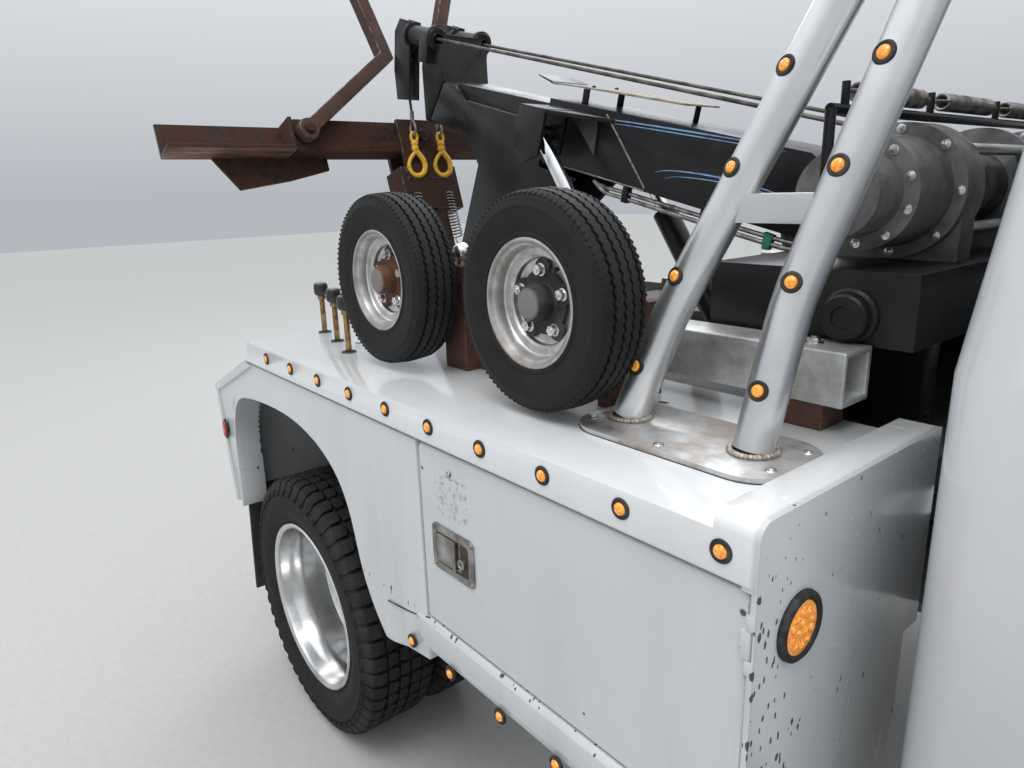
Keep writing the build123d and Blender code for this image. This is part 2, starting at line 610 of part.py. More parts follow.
HOOD_REAR = 3228
hood_top = ((HOOD_REAR, 1392), (3700, 1378), (4180, 1318), (4400, 1236), (4452, 1165))
hood_low = ((4424, 1165), (4376, 1212), (4166, 1288), (3696, 1346), (HOOD_REAR, 1360))
hood = side_plate(hood_top + hood_low, -694, 694)
for side in (-1, 1):
    y = side * HOOD_LUG_Y
    hood += round_bar("y", (HOOD_HINGE_X, y, HOOD_HINGE_Z), 8, 22)
    hood += block(HOOD_HINGE_X, HOOD_REAR + 10, y - 11, y + 11, HOOD_HINGE_Z - 8, HOOD_HINGE_Z - 1)
    hood -= round_bar("y", (HOOD_HINGE_X, y, HOOD_HINGE_Z), 4 + RUN_GAP, 60)
save("hood", hood)

LAMP_BACK = NOSE_FACE + SEAT_GAP
grille = side_plate(((LAMP_BACK, 790), (NOSE_X + 10, 810), (NOSE_X, 1130), (LAMP_BACK, 1140)), -560, 560)
for row in range(4):
    z = 850 + row * 78
    grille -= block(NOSE_X - 10, NOSE_X + 30, -520, 520, z, z + 42)
save("grille", grille)
lamp = side_plate(((LAMP_BACK, 900), (NOSE_X + 2, 910), (NOSE_X - 12, 1110), (LAMP_BACK, 1120)), 570, 955)
save("headlamps", lamp, other_side(lamp))

bumper = block(4530, BUMPER_FACE, -1005, 1005, 500, 760) - block(4500, 4610, -980, 980, 470, 735)
bumper = fillet(bumper.edges().filter_by(Axis.Z).group_by(Axis.X)[-1], 60)
horns = []
for side in (-1, 1):
    horns.append(side_plate(
        ((RAIL_FRONT + SEAT_GAP, 700), (4610 - SEAT_GAP, 700), (4610 - SEAT_GAP, 735 - SEAT_GAP),
         (4520, 735 - SEAT_GAP), (4500, 770), (RAIL_FRONT + 36, 770), (RAIL_FRONT + 28, 900),
         (RAIL_FRONT + SEAT_GAP, 900)),
        side * 392 - 38, side * 392 + 38))
save("front_bumper", bumper, *horns)

# Side steps hung from the frame
step_left = fillet(block(2010, 2960, 860, 1010, 500, 545).edges().filter_by(Axis.Z), 20)
step_parts = [step_left, other_side(step_left)]
web = RAIL_OUTER_Y + SEAT_GAP
for x in (2470, 2860):
    hanger = front_plate(
        ((web, 505), (860 - SEAT_GAP, 505), (860 - SEAT_GAP, 540), (web + 90, 540), (web + 12, 640), (web + 12, 880),
         (web, 880)), x, x + 40)
    step_parts += [hanger, other_side(hanger)]
save("side_steps", *step_parts)

# Moulded body, one side: deck band and rail, fender, tool box and front lip
B = BODY_HALF_WIDTH
T = BODY_WALL
DECK_REAR = -190
band = block(DECK_REAR, BODY_FRONT, BOX_INNER_Y, B, RAIL_SEAM, DECK_TOP)
band += block(BODY_FRONT - 66, BODY_FRONT, BOX_INNER_Y, B, DECK_TOP - 5, DECK_TOP + 25)
band = fillet(band.edges().filter_by(Axis.X).group_by(Axis.Y)[-1].group_by(Axis.Z)[-1], 24)
band -= block(DECK_REAR + T, BODY_FRONT - T, BOX_INNER_Y + T, B - 30, RAIL_SEAM - 1, DECK_TOP - T)
TAIL_LIP = -475
TAIL_FOOT = 600
tail = side_plate(
    ((DECK_REAR + 5, DECK_TOP - 10), (DECK_REAR + 5, RAIL_SEAM - 12), (-536, 985), (TAIL_LIP, TAIL_FOOT),
     (TAIL_LIP - T, TAIL_FOOT), (-561, 1000), (DECK_REAR - 14, 1148), (DECK_REAR, DECK_TOP - 10)), BOX_INNER_Y, B)
SKIN_Y = B - 6
skin_outline = (
    (DECK_REAR + 10, RAIL_SEAM + 20), (TOOL_DOOR_REAR - 4, RAIL_SEAM + 20), (TOOL_DOOR_REAR - 4, 618),
    (585, 594), (560, 594), (-420, 600), (-495, 600), (-558, 1000), (-200, 1148))
ARCH_EDGE = ((-425, 560), (-402, 780), (-373, 925), (-322, 990), (-240, 1018), (-100, 1033), (28, 1037),
             (198, 1019), (297, 985), (358, 945), (412, 868), (456, 730), (507, 642), (600, 560))
LIP_LINE = ((-455, 560), (-432, 780), (-400, 940), (-343, 1014), (-245, 1046), (-100, 1062), (28, 1066),
            (208, 1048), (315, 1012), (382, 965), (440, 880), (484, 740), (535, 660), (640, 560))
FLARE_CREASE = ((-446, 560), (-434, 780), (-408, 942), (-352, 1040), (-240, 1088), (-90, 1108), (90, 1116),
                (240, 1112), (325, 1094), (400, 1048), (474, 960), (524, 860), (566, 752), (700, 560))
FLARE_RIM = ((-431, 560), (-408, 780), (-380, 930), (-327, 998), (-242, 1027), (-100, 1042), (28, 1046),
             (200, 1028), (301, 994), (365, 953), (420, 871), (464, 733), (514, 649), (612, 560))


def arch_face(points, y):
    """A flat face under a smooth curve through these (x, z) points, closed along the bottom."""
    curve = Spline(*[(x, y, z) for x, z in points])
    return make_face(curve + Line((points[-1][0], y, points[-1][1]), (points[0][0], y, points[0][1])))


arch_hole = extrude(arch_face(ARCH_EDGE, 1000), amount=300, dir=(0, 1, 0))
skin = side_plate(skin_outline, SKIN_Y - T, SKIN_Y) - arch_hole
lip_line = extrude(arch_face(LIP_LINE, SKIN_Y - 70), amount=70, dir=(0, 1, 0))
arch_band = side_plate(skin_outline, SKIN_Y - 70, SKIN_Y) & lip_line
arch_band -= arch_hole
box_rear = block(640, 640 + T, BOX_INNER_Y, SKIN_Y - 1, BOX_BOTTOM, RAIL_SEAM + 5)
front_wall = front_plate(
    ((740, BOX_BOTTOM), (740, 876), (BOX_INNER_Y, 876), (BOX_INNER_Y, RAIL_SEAM + 5), (B - 1, RAIL_SEAM + 5),
     (B - 1, BOX_BOTTOM + 60), (B - 40, BOX_BOTTOM)), BODY_FRONT - T, BODY_FRONT)
box_floor = block(650, BODY_FRONT - 5, 740, B - 40, BOX_BOTTOM, BOX_BOTTOM + T)
box_inner = (
    block(650, BODY_FRONT - 5, 740, 740 + T, BOX_BOTTOM + 5, 876 + T)
    + block(650, BODY_FRONT - 5, BOX_INNER_Y, 740 + T, 876, 876 + T)
    + block(650, BODY_FRONT - 5, BOX_INNER_Y, BOX_INNER_Y + T, 876, RAIL_SEAM + 5)
)
sill = front_plate(
    ((B - 45, BOX_BOTTOM), (B - 30, BOX_BOTTOM), (B - 8, BOX_BOTTOM + 26), (B, BOX_BOTTOM + 60), (B, 716),
     (B - 8, 727), (B - 40, 727), (B - 40, BOX_BOTTOM + 40)), 690, BODY_FRONT)
liner = block(-520, 650, BOX_INNER_Y, BOX_INNER_Y + 10, 900, RAIL_SEAM + 40)
flare = loft([arch_face(FLARE_CREASE, SKIN_Y - 3), arch_face(FLARE_RIM, SKIN_Y + 12)], ruled=True)
flare = flare & side_plate(skin_outline, SKIN_Y - 4, SKIN_Y + 20)
flare -= arch_hole
body_left = band + tail + skin + arch_band + box_rear + front_wall + box_floor + box_inner + sill + liner + flare
body_left -= block(DECK_REAR - 30, TOOL_DOOR_REAR - 4, B - 13, B + 1, RAIL_SEAM - 9, RAIL_SEAM)
body_left -= block(TOOL_DOOR_REAR - 4, BODY_FRONT - 8, SKIN_Y - TOOL_DOOR_THICK - 8, B + 1, TOOL_DOOR_BOTTOM - 4,
                   TOOL_DOOR_TOP + 4)
DOOR_FACE_Y = SKIN_Y - 2
tool_door_left = block(TOOL_DOOR_REAR, TOOL_DOOR_FRONT, DOOR_FACE_Y - TOOL_DOOR_THICK, DOOR_FACE_Y, TOOL_DOOR_BOTTOM,
                       TOOL_DOOR_TOP)
tool_door_left = fillet(tool_door_left.edges().filter_by(Axis.Y), 14)
tool_door_left = fillet(tool_door_left.edges().group_by(Axis.Y)[-1], 6)
for z in (800, 1060):
    fixed, swing, fixed_room, swing_room = vertical_hinge(TOOL_HINGE_X, TOOL_HINGE_Y, z, 9, 5, 2.5, 40)
    body_left = body_left - fixed_room + (fixed & block(TOOL_HINGE_X - 6, BODY_FRONT, 1100, B, 500, 1200))
    tool_door_left = tool_door_left - swing_room + swing
save("body_side_left", body_left)
save("body_side_right", other_side(body_left))
save("tool_door_left", tool_door_left)
save("tool_door_right", other_side(tool_door_left))

flap_x = TAIL_LIP + SEAT_GAP
flap_left = side_plate(
    ((flap_x, 640), (flap_x, TAIL_FOOT - 2), (-520, 230), (-508, 230), (flap_x + 12, TAIL_FOOT - 2),
     (flap_x + 12, 640)), 800, 1170)
save("mud_flaps", flap_left, other_side(flap_left))

# Centre deck with its slot for the boom leg, on two long sills over the frame
SLOT_HALF = 310
deck = block(DECK_REAR, 1480, -BOX_INNER_Y + SEAT_GAP, BOX_INNER_Y - SEAT_GAP, 1130, 1150)
deck -= block(DECK_REAR - 10, 950, -SLOT_HALF, SLOT_HALF, 1100, 1200)
for side in (-1, 1):
    y = side * (RAIL_OUTER_Y - 40)
    deck += block(-400, 1480, y - 35, y + 35, RAIL_TOP + SEAT_GAP, 1135)
    for x in (-120, 300, 1080, 1400):
        deck += block(x, x + 60, min(y, side * 650), max(y, side * 650), 1060, 1132)
save("deck", deck)

# Turret: two cheeks with the heel pin, the winch bench and the cross tube
BENCH_TOP = WINCH_Z - 125
CHEEK_Y = OUTER_BOOM_HALF_WIDTH + 10
CHEEK = 20
turret = None
for side in (-1, 1):
    y0 = CHEEK_Y if side > 0 else -CHEEK_Y - CHEEK
    cheek = side_plate(
        ((860, 1150), (1440, 1150), (1440, BENCH_TOP), (1180, BENCH_TOP), (1150, BOOM_PIN_Z + 50),
         (BOOM_PIN_X + 30, BOOM_PIN_Z + 70), (BOOM_PIN_X - 30, BOOM_PIN_Z + 70), (BOOM_PIN_X - 70, BOOM_PIN_Z + 20),
         (960, 1260)), y0, y0 + CHEEK)
    turret = cheek if turret is None else turret + cheek
turret += block(1180, 1440, -682, 570, BENCH_TOP - 125, BENCH_TOP)
turret += block(1050, 1190, -682, -CHEEK_Y, BENCH_TOP - 125, BENCH_TOP)
turret += block(1050, 1190, CHEEK_Y, 570, BENCH_TOP - 125, BENCH_TOP)
turret += round_bar("y", (1240, 0, 1295), 55, 1060)
for y in (-520, 420):
    turret += block(1200, 1400, y, y + 60, 1150, BENCH_TOP - 120)
turret += round_bar("y", (BOOM_PIN_X, 0, BOOM_PIN_Z), HEEL_PIN_RADIUS, 2 * (CHEEK_Y + CHEEK + 12))
save("turret", turret)

# Winches: gearbox, far bracket and tie bars in one, with the drum free on the shaft
TIE_RADIUS = 113
winch_frames = []
drums = []
for y in WINCH_OUTER_Y:
    flange_y = y + GEARBOX_LENGTH
    far_y = flange_y + DRUM_LENGTH
    unit = (
        round_bar("y", (WINCH_X, y + 45, WINCH_Z), 72, 90)
        + round_bar("y", (WINCH_X, y + 155, WINCH_Z), 98, 140)
        + round_bar("y", (WINCH_X, flange_y - 40, WINCH_Z), GEARBOX_RADIUS, 80)
        + block(WINCH_X - 110, WINCH_X + 110, flange_y - 60, flange_y, BENCH_TOP + SEAT_GAP, WINCH_Z)
        + round_bar("y", (WINCH_X, (flange_y + far_y) / 2, WINCH_Z), WINCH_SHAFT_RADIUS, DRUM_LENGTH + 20)
        + round_bar("y", (WINCH_X, far_y + 10, WINCH_Z), GEARBOX_RADIUS, 20)
        + block(WINCH_X - 110, WINCH_X + 110, far_y, far_y + 20, BENCH_TOP + SEAT_GAP, WINCH_Z)
    )
    for angle in (38, 142, 218, 322):
        bx = WINCH_X + TIE_RADIUS * math.cos(math.radians(angle))
        bz = WINCH_Z + TIE_RADIUS * math.sin(math.radians(angle))
        unit += round_bar("y", (bx, (flange_y + far_y) / 2, bz), 10, DRUM_LENGTH + 20)
    winch_frames.append(unit)
    r0 = WINCH_SHAFT_RADIUS + RUN_GAP
    a = flange_y + 4
    b = far_y - 4
    drums.append(Pos(WINCH_X, 0, WINCH_Z) * revolve(make_face(Polyline(
        *[(r, yy, 0) for r, yy in (
            (r0, a), (DRUM_FLANGE_RADIUS - 12, a), (DRUM_FLANGE_RADIUS - 12, a + 8), (DRUM_RADIUS, a + 12),
            (DRUM_RADIUS, b - 12), (DRUM_FLANGE_RADIUS - 12, b - 8), (DRUM_FLANGE_RADIUS - 12, b), (r0, b))],
        close=True)), axis=Axis.Y, revolution_arc=360))
save("winch_gearboxes", *winch_frames)
save("winch_drum_right", drums[0])
save("winch_drum_left", drums[1])

# Pylon: two bent tubes a side on a rounded base plate, with a cross tube at the top
PYLON_RADIUS = 32
TOP_Z = 2350
pylon = round_bar("y", (1575, 0, TOP_Z), 34, 1520)
for foot, knee, head in (
    ((1087, 961, DECK_TOP + 12), (1135, 912, 1400), (1556, 712, TOP_Z - 6)),
    ((1334, 958, DECK_TOP + 12), (1352, 905, 1440), (1590, 712, TOP_Z - 6)),
):
    path = FilletPolyline(foot, knee, head, radius=500)
    start = Plane(origin=foot, z_dir=Vector(*knee) - Vector(*foot))
    leg = sweep(start * Circle(PYLON_RADIUS), path=path)
    pylon += leg
    pylon += other_side(leg)
link = block(1190, 1385, 848, 888, 1548, 1592)
plate = block(1020, 1425, 862, 1062, DECK_TOP + SEAT_GAP, DECK_TOP + 9)
plate = fillet(plate.edges().filter_by(Axis.Z), 70)
pylon += link + other_side(link) + plate + other_side(plate)
save("pylon", pylon)
light_bar = block(1440, 1710, -620, 620, TOP_Z + 34 + SEAT_GAP, TOP_Z + 120)
light_bar = fillet(light_bar.edges().filter_by(Axis.Z), 60)
save("light_bar", light_bar)

# Dolly gear stowed on the deck
ARM_Y = DOLLY_WHEEL_Y - DOLLY_TYRE_WIDTH / 2 - 20
dolly_frames = []
dolly_bars = []
for side in (-1, 1):
    arm = block(DOLLY_X[0] - 45, DOLLY_X[1] + 45, ARM_Y - 62, ARM_Y - 2, DOLLY_AXLE_Z - 38, DOLLY_AXLE_Z + 32)
    arm += block(490, 575, ARM_Y - 62, ARM_Y - 2, DECK_TOP + SEAT_GAP, DOLLY_AXLE_Z)
    arm += block(490, 760, 700, ARM_Y - 40, DECK_TOP + SEAT_GAP, 1246)
    arm += block(980, 1010, 780, ARM_Y - 20, DECK_TOP + SEAT_GAP, DOLLY_AXLE_Z - 20)
    for x in DOLLY_X:
        arm += round_bar("y", (x, ARM_Y + 40, DOLLY_AXLE_Z), DOLLY_BORE, 150)
    bar = block(300, 1380, 690, 780, 1246 + SEAT_GAP, 1340) - block(299, 1381, 700, 770, 1258, 1330)
    casting = block(1250, 1345, 700, 775, DECK_TOP + SEAT_GAP, 1246)
    if side > 0:
        dolly_frames += [arm, casting]
        dolly_bars.append(bar)
    else:
        dolly_frames += [other_side(arm), other_side(casting)]
        dolly_bars.append(other_side(bar))
save("dolly_frames", *dolly_frames)
save("dolly_bars", *dolly_bars)


def dolly_wheel(x):
    mid = DOLLY_WHEEL_Y
    y0 = mid - DOLLY_TYRE_WIDTH / 2
    y1 = mid + DOLLY_TYRE_WIDTH / 2
    rim_r = 103
    tyre = turned(
        ((rim_r + SEAT_GAP, mid - 39.5), (115.4, mid - 41.5), (140, y0), (166, y0), (DOLLY_TYRE_RADIUS - 9, y0 + 11),
         (DOLLY_TYRE_RADIUS, y0 + 24), (DOLLY_TYRE_RADIUS, y1 - 24), (DOLLY_TYRE_RADIUS - 9, y1 - 11), (166, y1),
         (140, y1), (115.4, mid + 41.5), (rim_r + SEAT_GAP, mid + 39.5)), (x, DOLLY_AXLE_Z))
    rim = turned(
        ((DOLLY_BORE + RUN_GAP, mid - 36), (46, mid - 36), (46, mid + 4), (rim_r - 8, mid + 4), (rim_r - 8, mid - 46),
         (DOLLY_LIP_RADIUS, mid - 46), (DOLLY_LIP_RADIUS, mid - 42), (rim_r, mid - 40), (rim_r, mid + 40),
         (DOLLY_LIP_RADIUS, mid + 42), (DOLLY_LIP_RADIUS, mid + 46), (rim_r - 8, mid + 46), (rim_r - 8, mid + 12),
         (46, mid + 12), (40, mid + 38), (DOLLY_BORE + RUN_GAP, mid + 38)), (x, DOLLY_AXLE_Z))
    return tyre, rim


for end, x in zip(("rear", "front"), DOLLY_X):
    tyre, rim = dolly_wheel(x)
    save(f"dolly_wheel_left_{end}", tyre, rim)
    save(f"dolly_wheel_right_{end}", other_side(tyre), other_side(rim))

levers = []
for x, y in ((-152, -969), (8, -1005), (169, -1050)):
    knob = Pos(x, y, DECK_TOP + 133) * Cylinder(21, 40)
    knob = chamfer(knob.edges().filter_by(GeomType.CIRCLE), 8)
    levers.append(round_bar("z", (x, y, DECK_TOP + 58), 8, 116) + knob)
save("control_levers", *levers)

# Boom pieces are drawn level, pointing to the rear from the heel pin: s runs back along the boom, t up from it
BOOM = Pos(BOOM_PIN_X, 0, BOOM_PIN_Z) * Rot(0, BOOM_SLOPE, 0)


def st_plate(points, y0, y1):
    return side_plate([(-s, t) for s, t in points], y0, y1)


def st_block(s0, s1, y0, y1, t0, t1):
    return block(-s1, -s0, y0, y1, t0, t1)


OB = OUTER_BOOM_HALF_WIDTH
OW = OUTER_BOOM_WALL
outer_boom = st_plate(
    ((-48, OUTER_BOOM_BOTTOM), (-62, -8), (-46, 44), (190, OUTER_BOOM_TOP), (OUTER_BOOM_END, OUTER_BOOM_TOP),
     (OUTER_BOOM_END, OUTER_BOOM_BOTTOM)), -OB, OB)
outer_boom -= st_block(180, OUTER_BOOM_END + 1, -OB + OW, OB - OW, OUTER_BOOM_BOTTOM + OW, OUTER_BOOM_TOP - OW)
IB_HALF = OB - OW - PAD_GAP
IB_LOW = OUTER_BOOM_BOTTOM + OW + PAD_GAP
IB_HIGH = OUTER_BOOM_TOP - OW - PAD_GAP
collar = st_block(OUTER_BOOM_END - 70, OUTER_BOOM_END, -OB + 2, OB - 2, OUTER_BOOM_BOTTOM + 2, OUTER_BOOM_TOP - 2)
collar -= st_block(0, 2000, -IB_HALF - SEAT_GAP, IB_HALF + SEAT_GAP, IB_LOW - SEAT_GAP, IB_HIGH + SEAT_GAP)
outer_boom += collar
LUG = 12
LUG_HALF = 36
for side in (-1, 1):
    mid = side * LIFT_Y
    for edge in (-1, 1):
        y = mid + edge * (LUG_HALF + 6 + LUG / 2)
        outer_boom += st_plate(
            ((LIFT_PIN_S - 72, 144), (LIFT_PIN_S + 52, 144), (LIFT_PIN_S + 74, 70), (LIFT_PIN_S + 60, -10),
             (LIFT_PIN_S + 10, -38), (LIFT_PIN_S - 60, 0)), y - LUG / 2, y + LUG / 2)
    inner_y = side * (OB - 3)
    outer_y = mid + side * (LUG_HALF + 6 + LUG)
    outer_boom += st_block(LIFT_PIN_S - 72, LIFT_PIN_S + 52, min(inner_y, outer_y), max(inner_y, outer_y), 132, 144)
    outer_boom += top_plate(
        ((-(LIFT_PIN_S - 68), inner_y), (-(LIFT_PIN_S - 68), outer_y), (-(LIFT_PIN_S - 250), inner_y)), 130, 142)
outer_boom -= round_bar("y", (0, 0, 0), HEEL_PIN_RADIUS + RUN_GAP, 400)
save("outer_boom", BOOM * outer_boom)

inner_boom = st_block(INNER_BOOM_TAIL, INNER_BOOM_END, -IB_HALF, IB_HALF, IB_LOW, IB_HIGH)
inner_boom -= st_block(INNER_BOOM_TAIL - 1, INNER_BOOM_END - 12, -IB_HALF + INNER_BOOM_WALL,
                       IB_HALF - INNER_BOOM_WALL, IB_LOW + INNER_BOOM_WALL, IB_HIGH - INNER_BOOM_WALL)
pg = PAD_GAP - SEAT_GAP
pad = st_block(INNER_BOOM_TAIL, INNER_BOOM_TAIL + 80, -IB_HALF - pg, IB_HALF + pg, IB_LOW - pg, IB_HIGH + pg)
pad -= st_block(INNER_BOOM_TAIL - 1, INNER_BOOM_TAIL + 81, -IB_HALF + 5, IB_HALF - 5, IB_LOW + 5, IB_HIGH - 5)
inner_boom += pad
HEAD_T = 295
HEAD_Y = 113
ROPE_BORE = 18
head = st_plate(((1850, IB_HIGH - 4), (1900, HEAD_T + 20), (1990, HEAD_T + 20), (2010, 180), (1955, -20),
                 (1930, IB_LOW)), -IB_HALF - 10, IB_HALF + 10)
inner_boom += head
inner_boom += st_block(1925, 1985, -HEAD_Y - 40, HEAD_Y + 40, 200, HEAD_T + 10)
for side in (-1, 1):
    centre = side * HEAD_Y
    inner_boom += round_bar("x", (-2010, centre, HEAD_T), 38, 190)
    for s in (1922, 2094):
        inner_boom += round_bar("x", (-s, centre, HEAD_T), 49, 16)
    for cheek in (-1, 1):
        y = centre + cheek * 22
        inner_boom += st_plate(
            ((2085, 345), (2170, 352), (2206, 300), (2196, 150), (2158, 32), (2062, 42), (2080, 210)), y - 4, y + 4)
    inner_boom += round_bar("y", (-2140, centre, 262), 16, 52)
    inner_boom += round_bar("y", (-2140, centre, 262), 58, 22)
for side in (-1, 1):
    inner_boom -= round_bar("x", (-2005, side * HEAD_Y, HEAD_T), ROPE_BORE, 250)
save("inner_boom", BOOM * inner_boom)

# Boom leg: two plates over the sides of the inner boom, tied together, ending at the fold pin
fold_dx = FOLD_PIN_X - BOOM_PIN_X
fold_dz = FOLD_PIN_Z - BOOM_PIN_Z
slope = math.radians(BOOM_SLOPE)
FOLD_S = -fold_dx * math.cos(slope) + fold_dz * math.sin(slope)
FOLD_T = fold_dx * math.sin(slope) + fold_dz * math.cos(slope)
leg_outline = (
    (OUTER_BOOM_END + 15, 78), (1672, 92), (1751, 140), (1828, 140), (1903, -12), (1681, -32), (1640, -28),
    (1549, -130), (1609, -460), (1613, -579), (FOLD_S - 60, FOLD_T + 180), (FOLD_S + 62, FOLD_T + 45),
    (FOLD_S + 66, FOLD_T - 30), (FOLD_S + 30, FOLD_T - 68), (FOLD_S - 40, FOLD_T - 68),
    (FOLD_S - 250, FOLD_T + 130), (1130, -210), (1015, -70), (OUTER_BOOM_END + 15, -68),
)
leg_in = IB_HALF + SEAT_GAP
leg_out = leg_in + LEG_PLATE
boom_leg = st_plate(leg_outline, leg_in, leg_out) + st_plate(leg_outline, -leg_out, -leg_in)
for s, t in ((1400, -250), (1480, -620), (FOLD_S - 130, FOLD_T + 130), (1300, -110)):
    boom_leg += round_bar("y", (-s, 0, t), 30, 2 * leg_in + 10)
boom_leg += round_bar("y", (-FOLD_S, 0, FOLD_T), FOLD_PIN_RADIUS, 2 * leg_out + 30)
save("boom_leg", BOOM * boom_leg)

# Wheel lift, drawn upright over the fold pin and laid back to its stowed lean
LIFT = Pos(FOLD_PIN_X, 0, FOLD_PIN_Z) * Rot(0, LIFT_LEAN, 0)
SWIVEL_Z = STINGER_LENGTH
SWIVEL_PIN = 26
SH = STINGER_HALF_DEPTH
SWB = STINGER_HALF_WIDTH
CB = CROSSBAR_HALF_DEPTH
stinger = block(-SH, SH, -SWB, SWB, 0, SWIVEL_Z - 100) + round_bar("y", (0, 0, 0), 62, 2 * SWB)
stinger += block(-SH - 12, SH + 12, -150, 150, 560, 760)
for face in (-1, 1):
    x0 = face * (CB + SEAT_GAP + 2)
    x1 = face * (CB + SEAT_GAP + 22)
    stinger += block(min(x0, x1), max(x0, x1), -120, 120, 700, SWIVEL_Z + 75)
stinger += round_bar("x", (0, 0, SWIVEL_Z), SWIVEL_PIN, 2 * (CB + 40))
stinger -= round_bar("y", (0, 0, 0), FOLD_PIN_RADIUS + RUN_GAP, 200)
save("stinger", LIFT * stinger)

CH = CROSSBAR_HALF_HEIGHT
CL = CROSSBAR_HALF_LENGTH
SCOOP_START = 614
crossbar = block(-CB, CB, -CL, CL, SWIVEL_Z - CH, SWIVEL_Z + CH)
scoop = block(-CB, -CB + 14, 400, SCOOP_END, SWIVEL_Z - CH, SWIVEL_Z + CH)
scoop += block(-CB, CB + 24, SCOOP_START, SCOOP_END, SWIVEL_Z - CH, SWIVEL_Z - CH + 14)
scoop += front_plate(
    ((440, SWIVEL_Z - CH + 10), (440, SWIVEL_Z - 118), (630, SWIVEL_Z - 162), (842, SWIVEL_Z - 196),
     (930, SWIVEL_Z - CH), (930, SWIVEL_Z - CH + 10)), -CB, -CB + 14)
scoop += block(-CB, CB + 24, SCOOP_START, SCOOP_START + 14, SWIVEL_Z - CH, SWIVEL_Z + CH)
crossbar += scoop + other_side(scoop)
crossbar -= round_bar("x", (0, 0, SWIVEL_Z), SWIVEL_PIN + RUN_GAP, 300)
CLAW_PIN = 20
CLAW_X = CB + 5 + CLAW_TUBE / 2
for side in (-1, 1):
    crossbar += round_bar("x", ((CB + CLAW_X + 40) / 2, side * CLAW_PIN_Y, SWIVEL_Z + CLAW_PIN_Z), CLAW_PIN,
                          CLAW_X + 40 - CB + 10)
save("crossbar", LIFT * crossbar)

turn = math.radians(CLAW_TURN)
h = CLAW_TUBE / 2
ex = CLAW_LEG_ONE + CLAW_LEG_TWO * math.cos(turn)
ez = CLAW_LEG_TWO * math.sin(turn)
claw_outline = (
    (-20, -h), (CLAW_LEG_ONE + h * math.tan(turn / 2), -h), (ex + h * math.sin(turn), ez - h * math.cos(turn)),
    (ex - h * math.sin(turn), ez + h * math.cos(turn)), (CLAW_LEG_ONE - h * math.tan(turn / 2), h), (-20, h),
)
claw = front_plate(claw_outline, -h, h) + round_bar("x", (0, 0, 0), 44, CLAW_TUBE)
claw -= round_bar("x", (0, 0, 0), CLAW_PIN + RUN_GAP, 200)
claw_right = Pos(CLAW_X, -CLAW_PIN_Y, SWIVEL_Z + CLAW_PIN_Z) * Rot(CLAW_REST_RIGHT, 0, 0) * claw
claw_left = Pos(CLAW_X, CLAW_PIN_Y, SWIVEL_Z + CLAW_PIN_Z) * Rot(-CLAW_REST_LEFT, 0, 0) * other_side(claw)
save("claw_right", LIFT * claw_right)
save("claw_left", LIFT * claw_left)

# Lift cylinders, drawn upright over their base pin and laid toward the boom's upper pin
upper_x = BOOM_PIN_X - LIFT_PIN_S * math.cos(slope) + LIFT_PIN_T * math.sin(slope)
upper_z = BOOM_PIN_Z + LIFT_PIN_S * math.sin(slope) + LIFT_PIN_T * math.cos(slope)
CYL_LENGTH = math.hypot(upper_x - LIFT_BASE_X, upper_z - LIFT_BASE_Z)
CYL_TILT = math.degrees(math.atan2(upper_x - LIFT_BASE_X, upper_z - LIFT_BASE_Z))
CYL = Pos(LIFT_BASE_X, 0, LIFT_BASE_Z) * Rot(0, CYL_TILT, 0)
BARREL_END = 640
ROD_LENGTH = 690
for name, y in (("left", LIFT_Y), ("right", -LIFT_Y)):
    barrel = round_bar("z", (0, y, (BARREL_END + 36) / 2), LIFT_BARREL_RADIUS, BARREL_END - 36)
    barrel += round_bar("y", (0, y, 0), 38, 80)
    barrel -= round_bar("z", (0, y, BARREL_END / 2 + 26), LIFT_ROD_RADIUS + RUN_GAP, BARREL_END - 40)
    barrel -= round_bar("y", (0, y, 0), LIFT_PIN_RADIUS + RUN_GAP, 120)
    save(f"lift_barrel_{name}", CYL * barrel)
    rod = round_bar("z", (0, y, CYL_LENGTH - ROD_LENGTH / 2), LIFT_ROD_RADIUS, ROD_LENGTH)
    rod += round_bar("y", (0, y, CYL_LENGTH), 30, 2 * LUG_HALF)
    save(f"lift_rod_{name}", CYL * rod)
print("cylinder length", round(CYL_LENGTH, 3), "tilt", round(CYL_TILT, 4))
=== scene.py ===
import json
import math

import bpy
from mathutils import Matrix, Vector


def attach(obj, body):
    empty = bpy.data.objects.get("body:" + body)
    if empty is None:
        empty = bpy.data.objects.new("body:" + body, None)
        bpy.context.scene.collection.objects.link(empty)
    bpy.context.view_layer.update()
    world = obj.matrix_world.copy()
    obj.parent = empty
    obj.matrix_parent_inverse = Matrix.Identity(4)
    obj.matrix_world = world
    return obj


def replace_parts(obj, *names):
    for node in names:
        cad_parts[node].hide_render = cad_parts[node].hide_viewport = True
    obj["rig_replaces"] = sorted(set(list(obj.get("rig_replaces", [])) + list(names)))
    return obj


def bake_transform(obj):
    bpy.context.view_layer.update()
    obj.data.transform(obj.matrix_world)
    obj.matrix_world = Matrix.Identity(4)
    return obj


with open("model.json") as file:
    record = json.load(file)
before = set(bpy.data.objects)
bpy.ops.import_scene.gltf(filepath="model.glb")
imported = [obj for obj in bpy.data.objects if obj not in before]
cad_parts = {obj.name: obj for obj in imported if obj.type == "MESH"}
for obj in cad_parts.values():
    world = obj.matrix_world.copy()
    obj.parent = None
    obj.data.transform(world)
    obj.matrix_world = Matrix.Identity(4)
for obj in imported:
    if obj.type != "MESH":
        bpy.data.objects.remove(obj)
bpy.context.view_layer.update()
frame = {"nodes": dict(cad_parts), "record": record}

# Camera: stands beside the cab's right rear corner at eye height and looks back along the body, as the
# photograph does. Lengths here are in metres, x forward from the rear axle, y to the left, z up.
REAR_AXLE = -1.666
FORWARD = Vector((1.0, 0.0, 0.0))
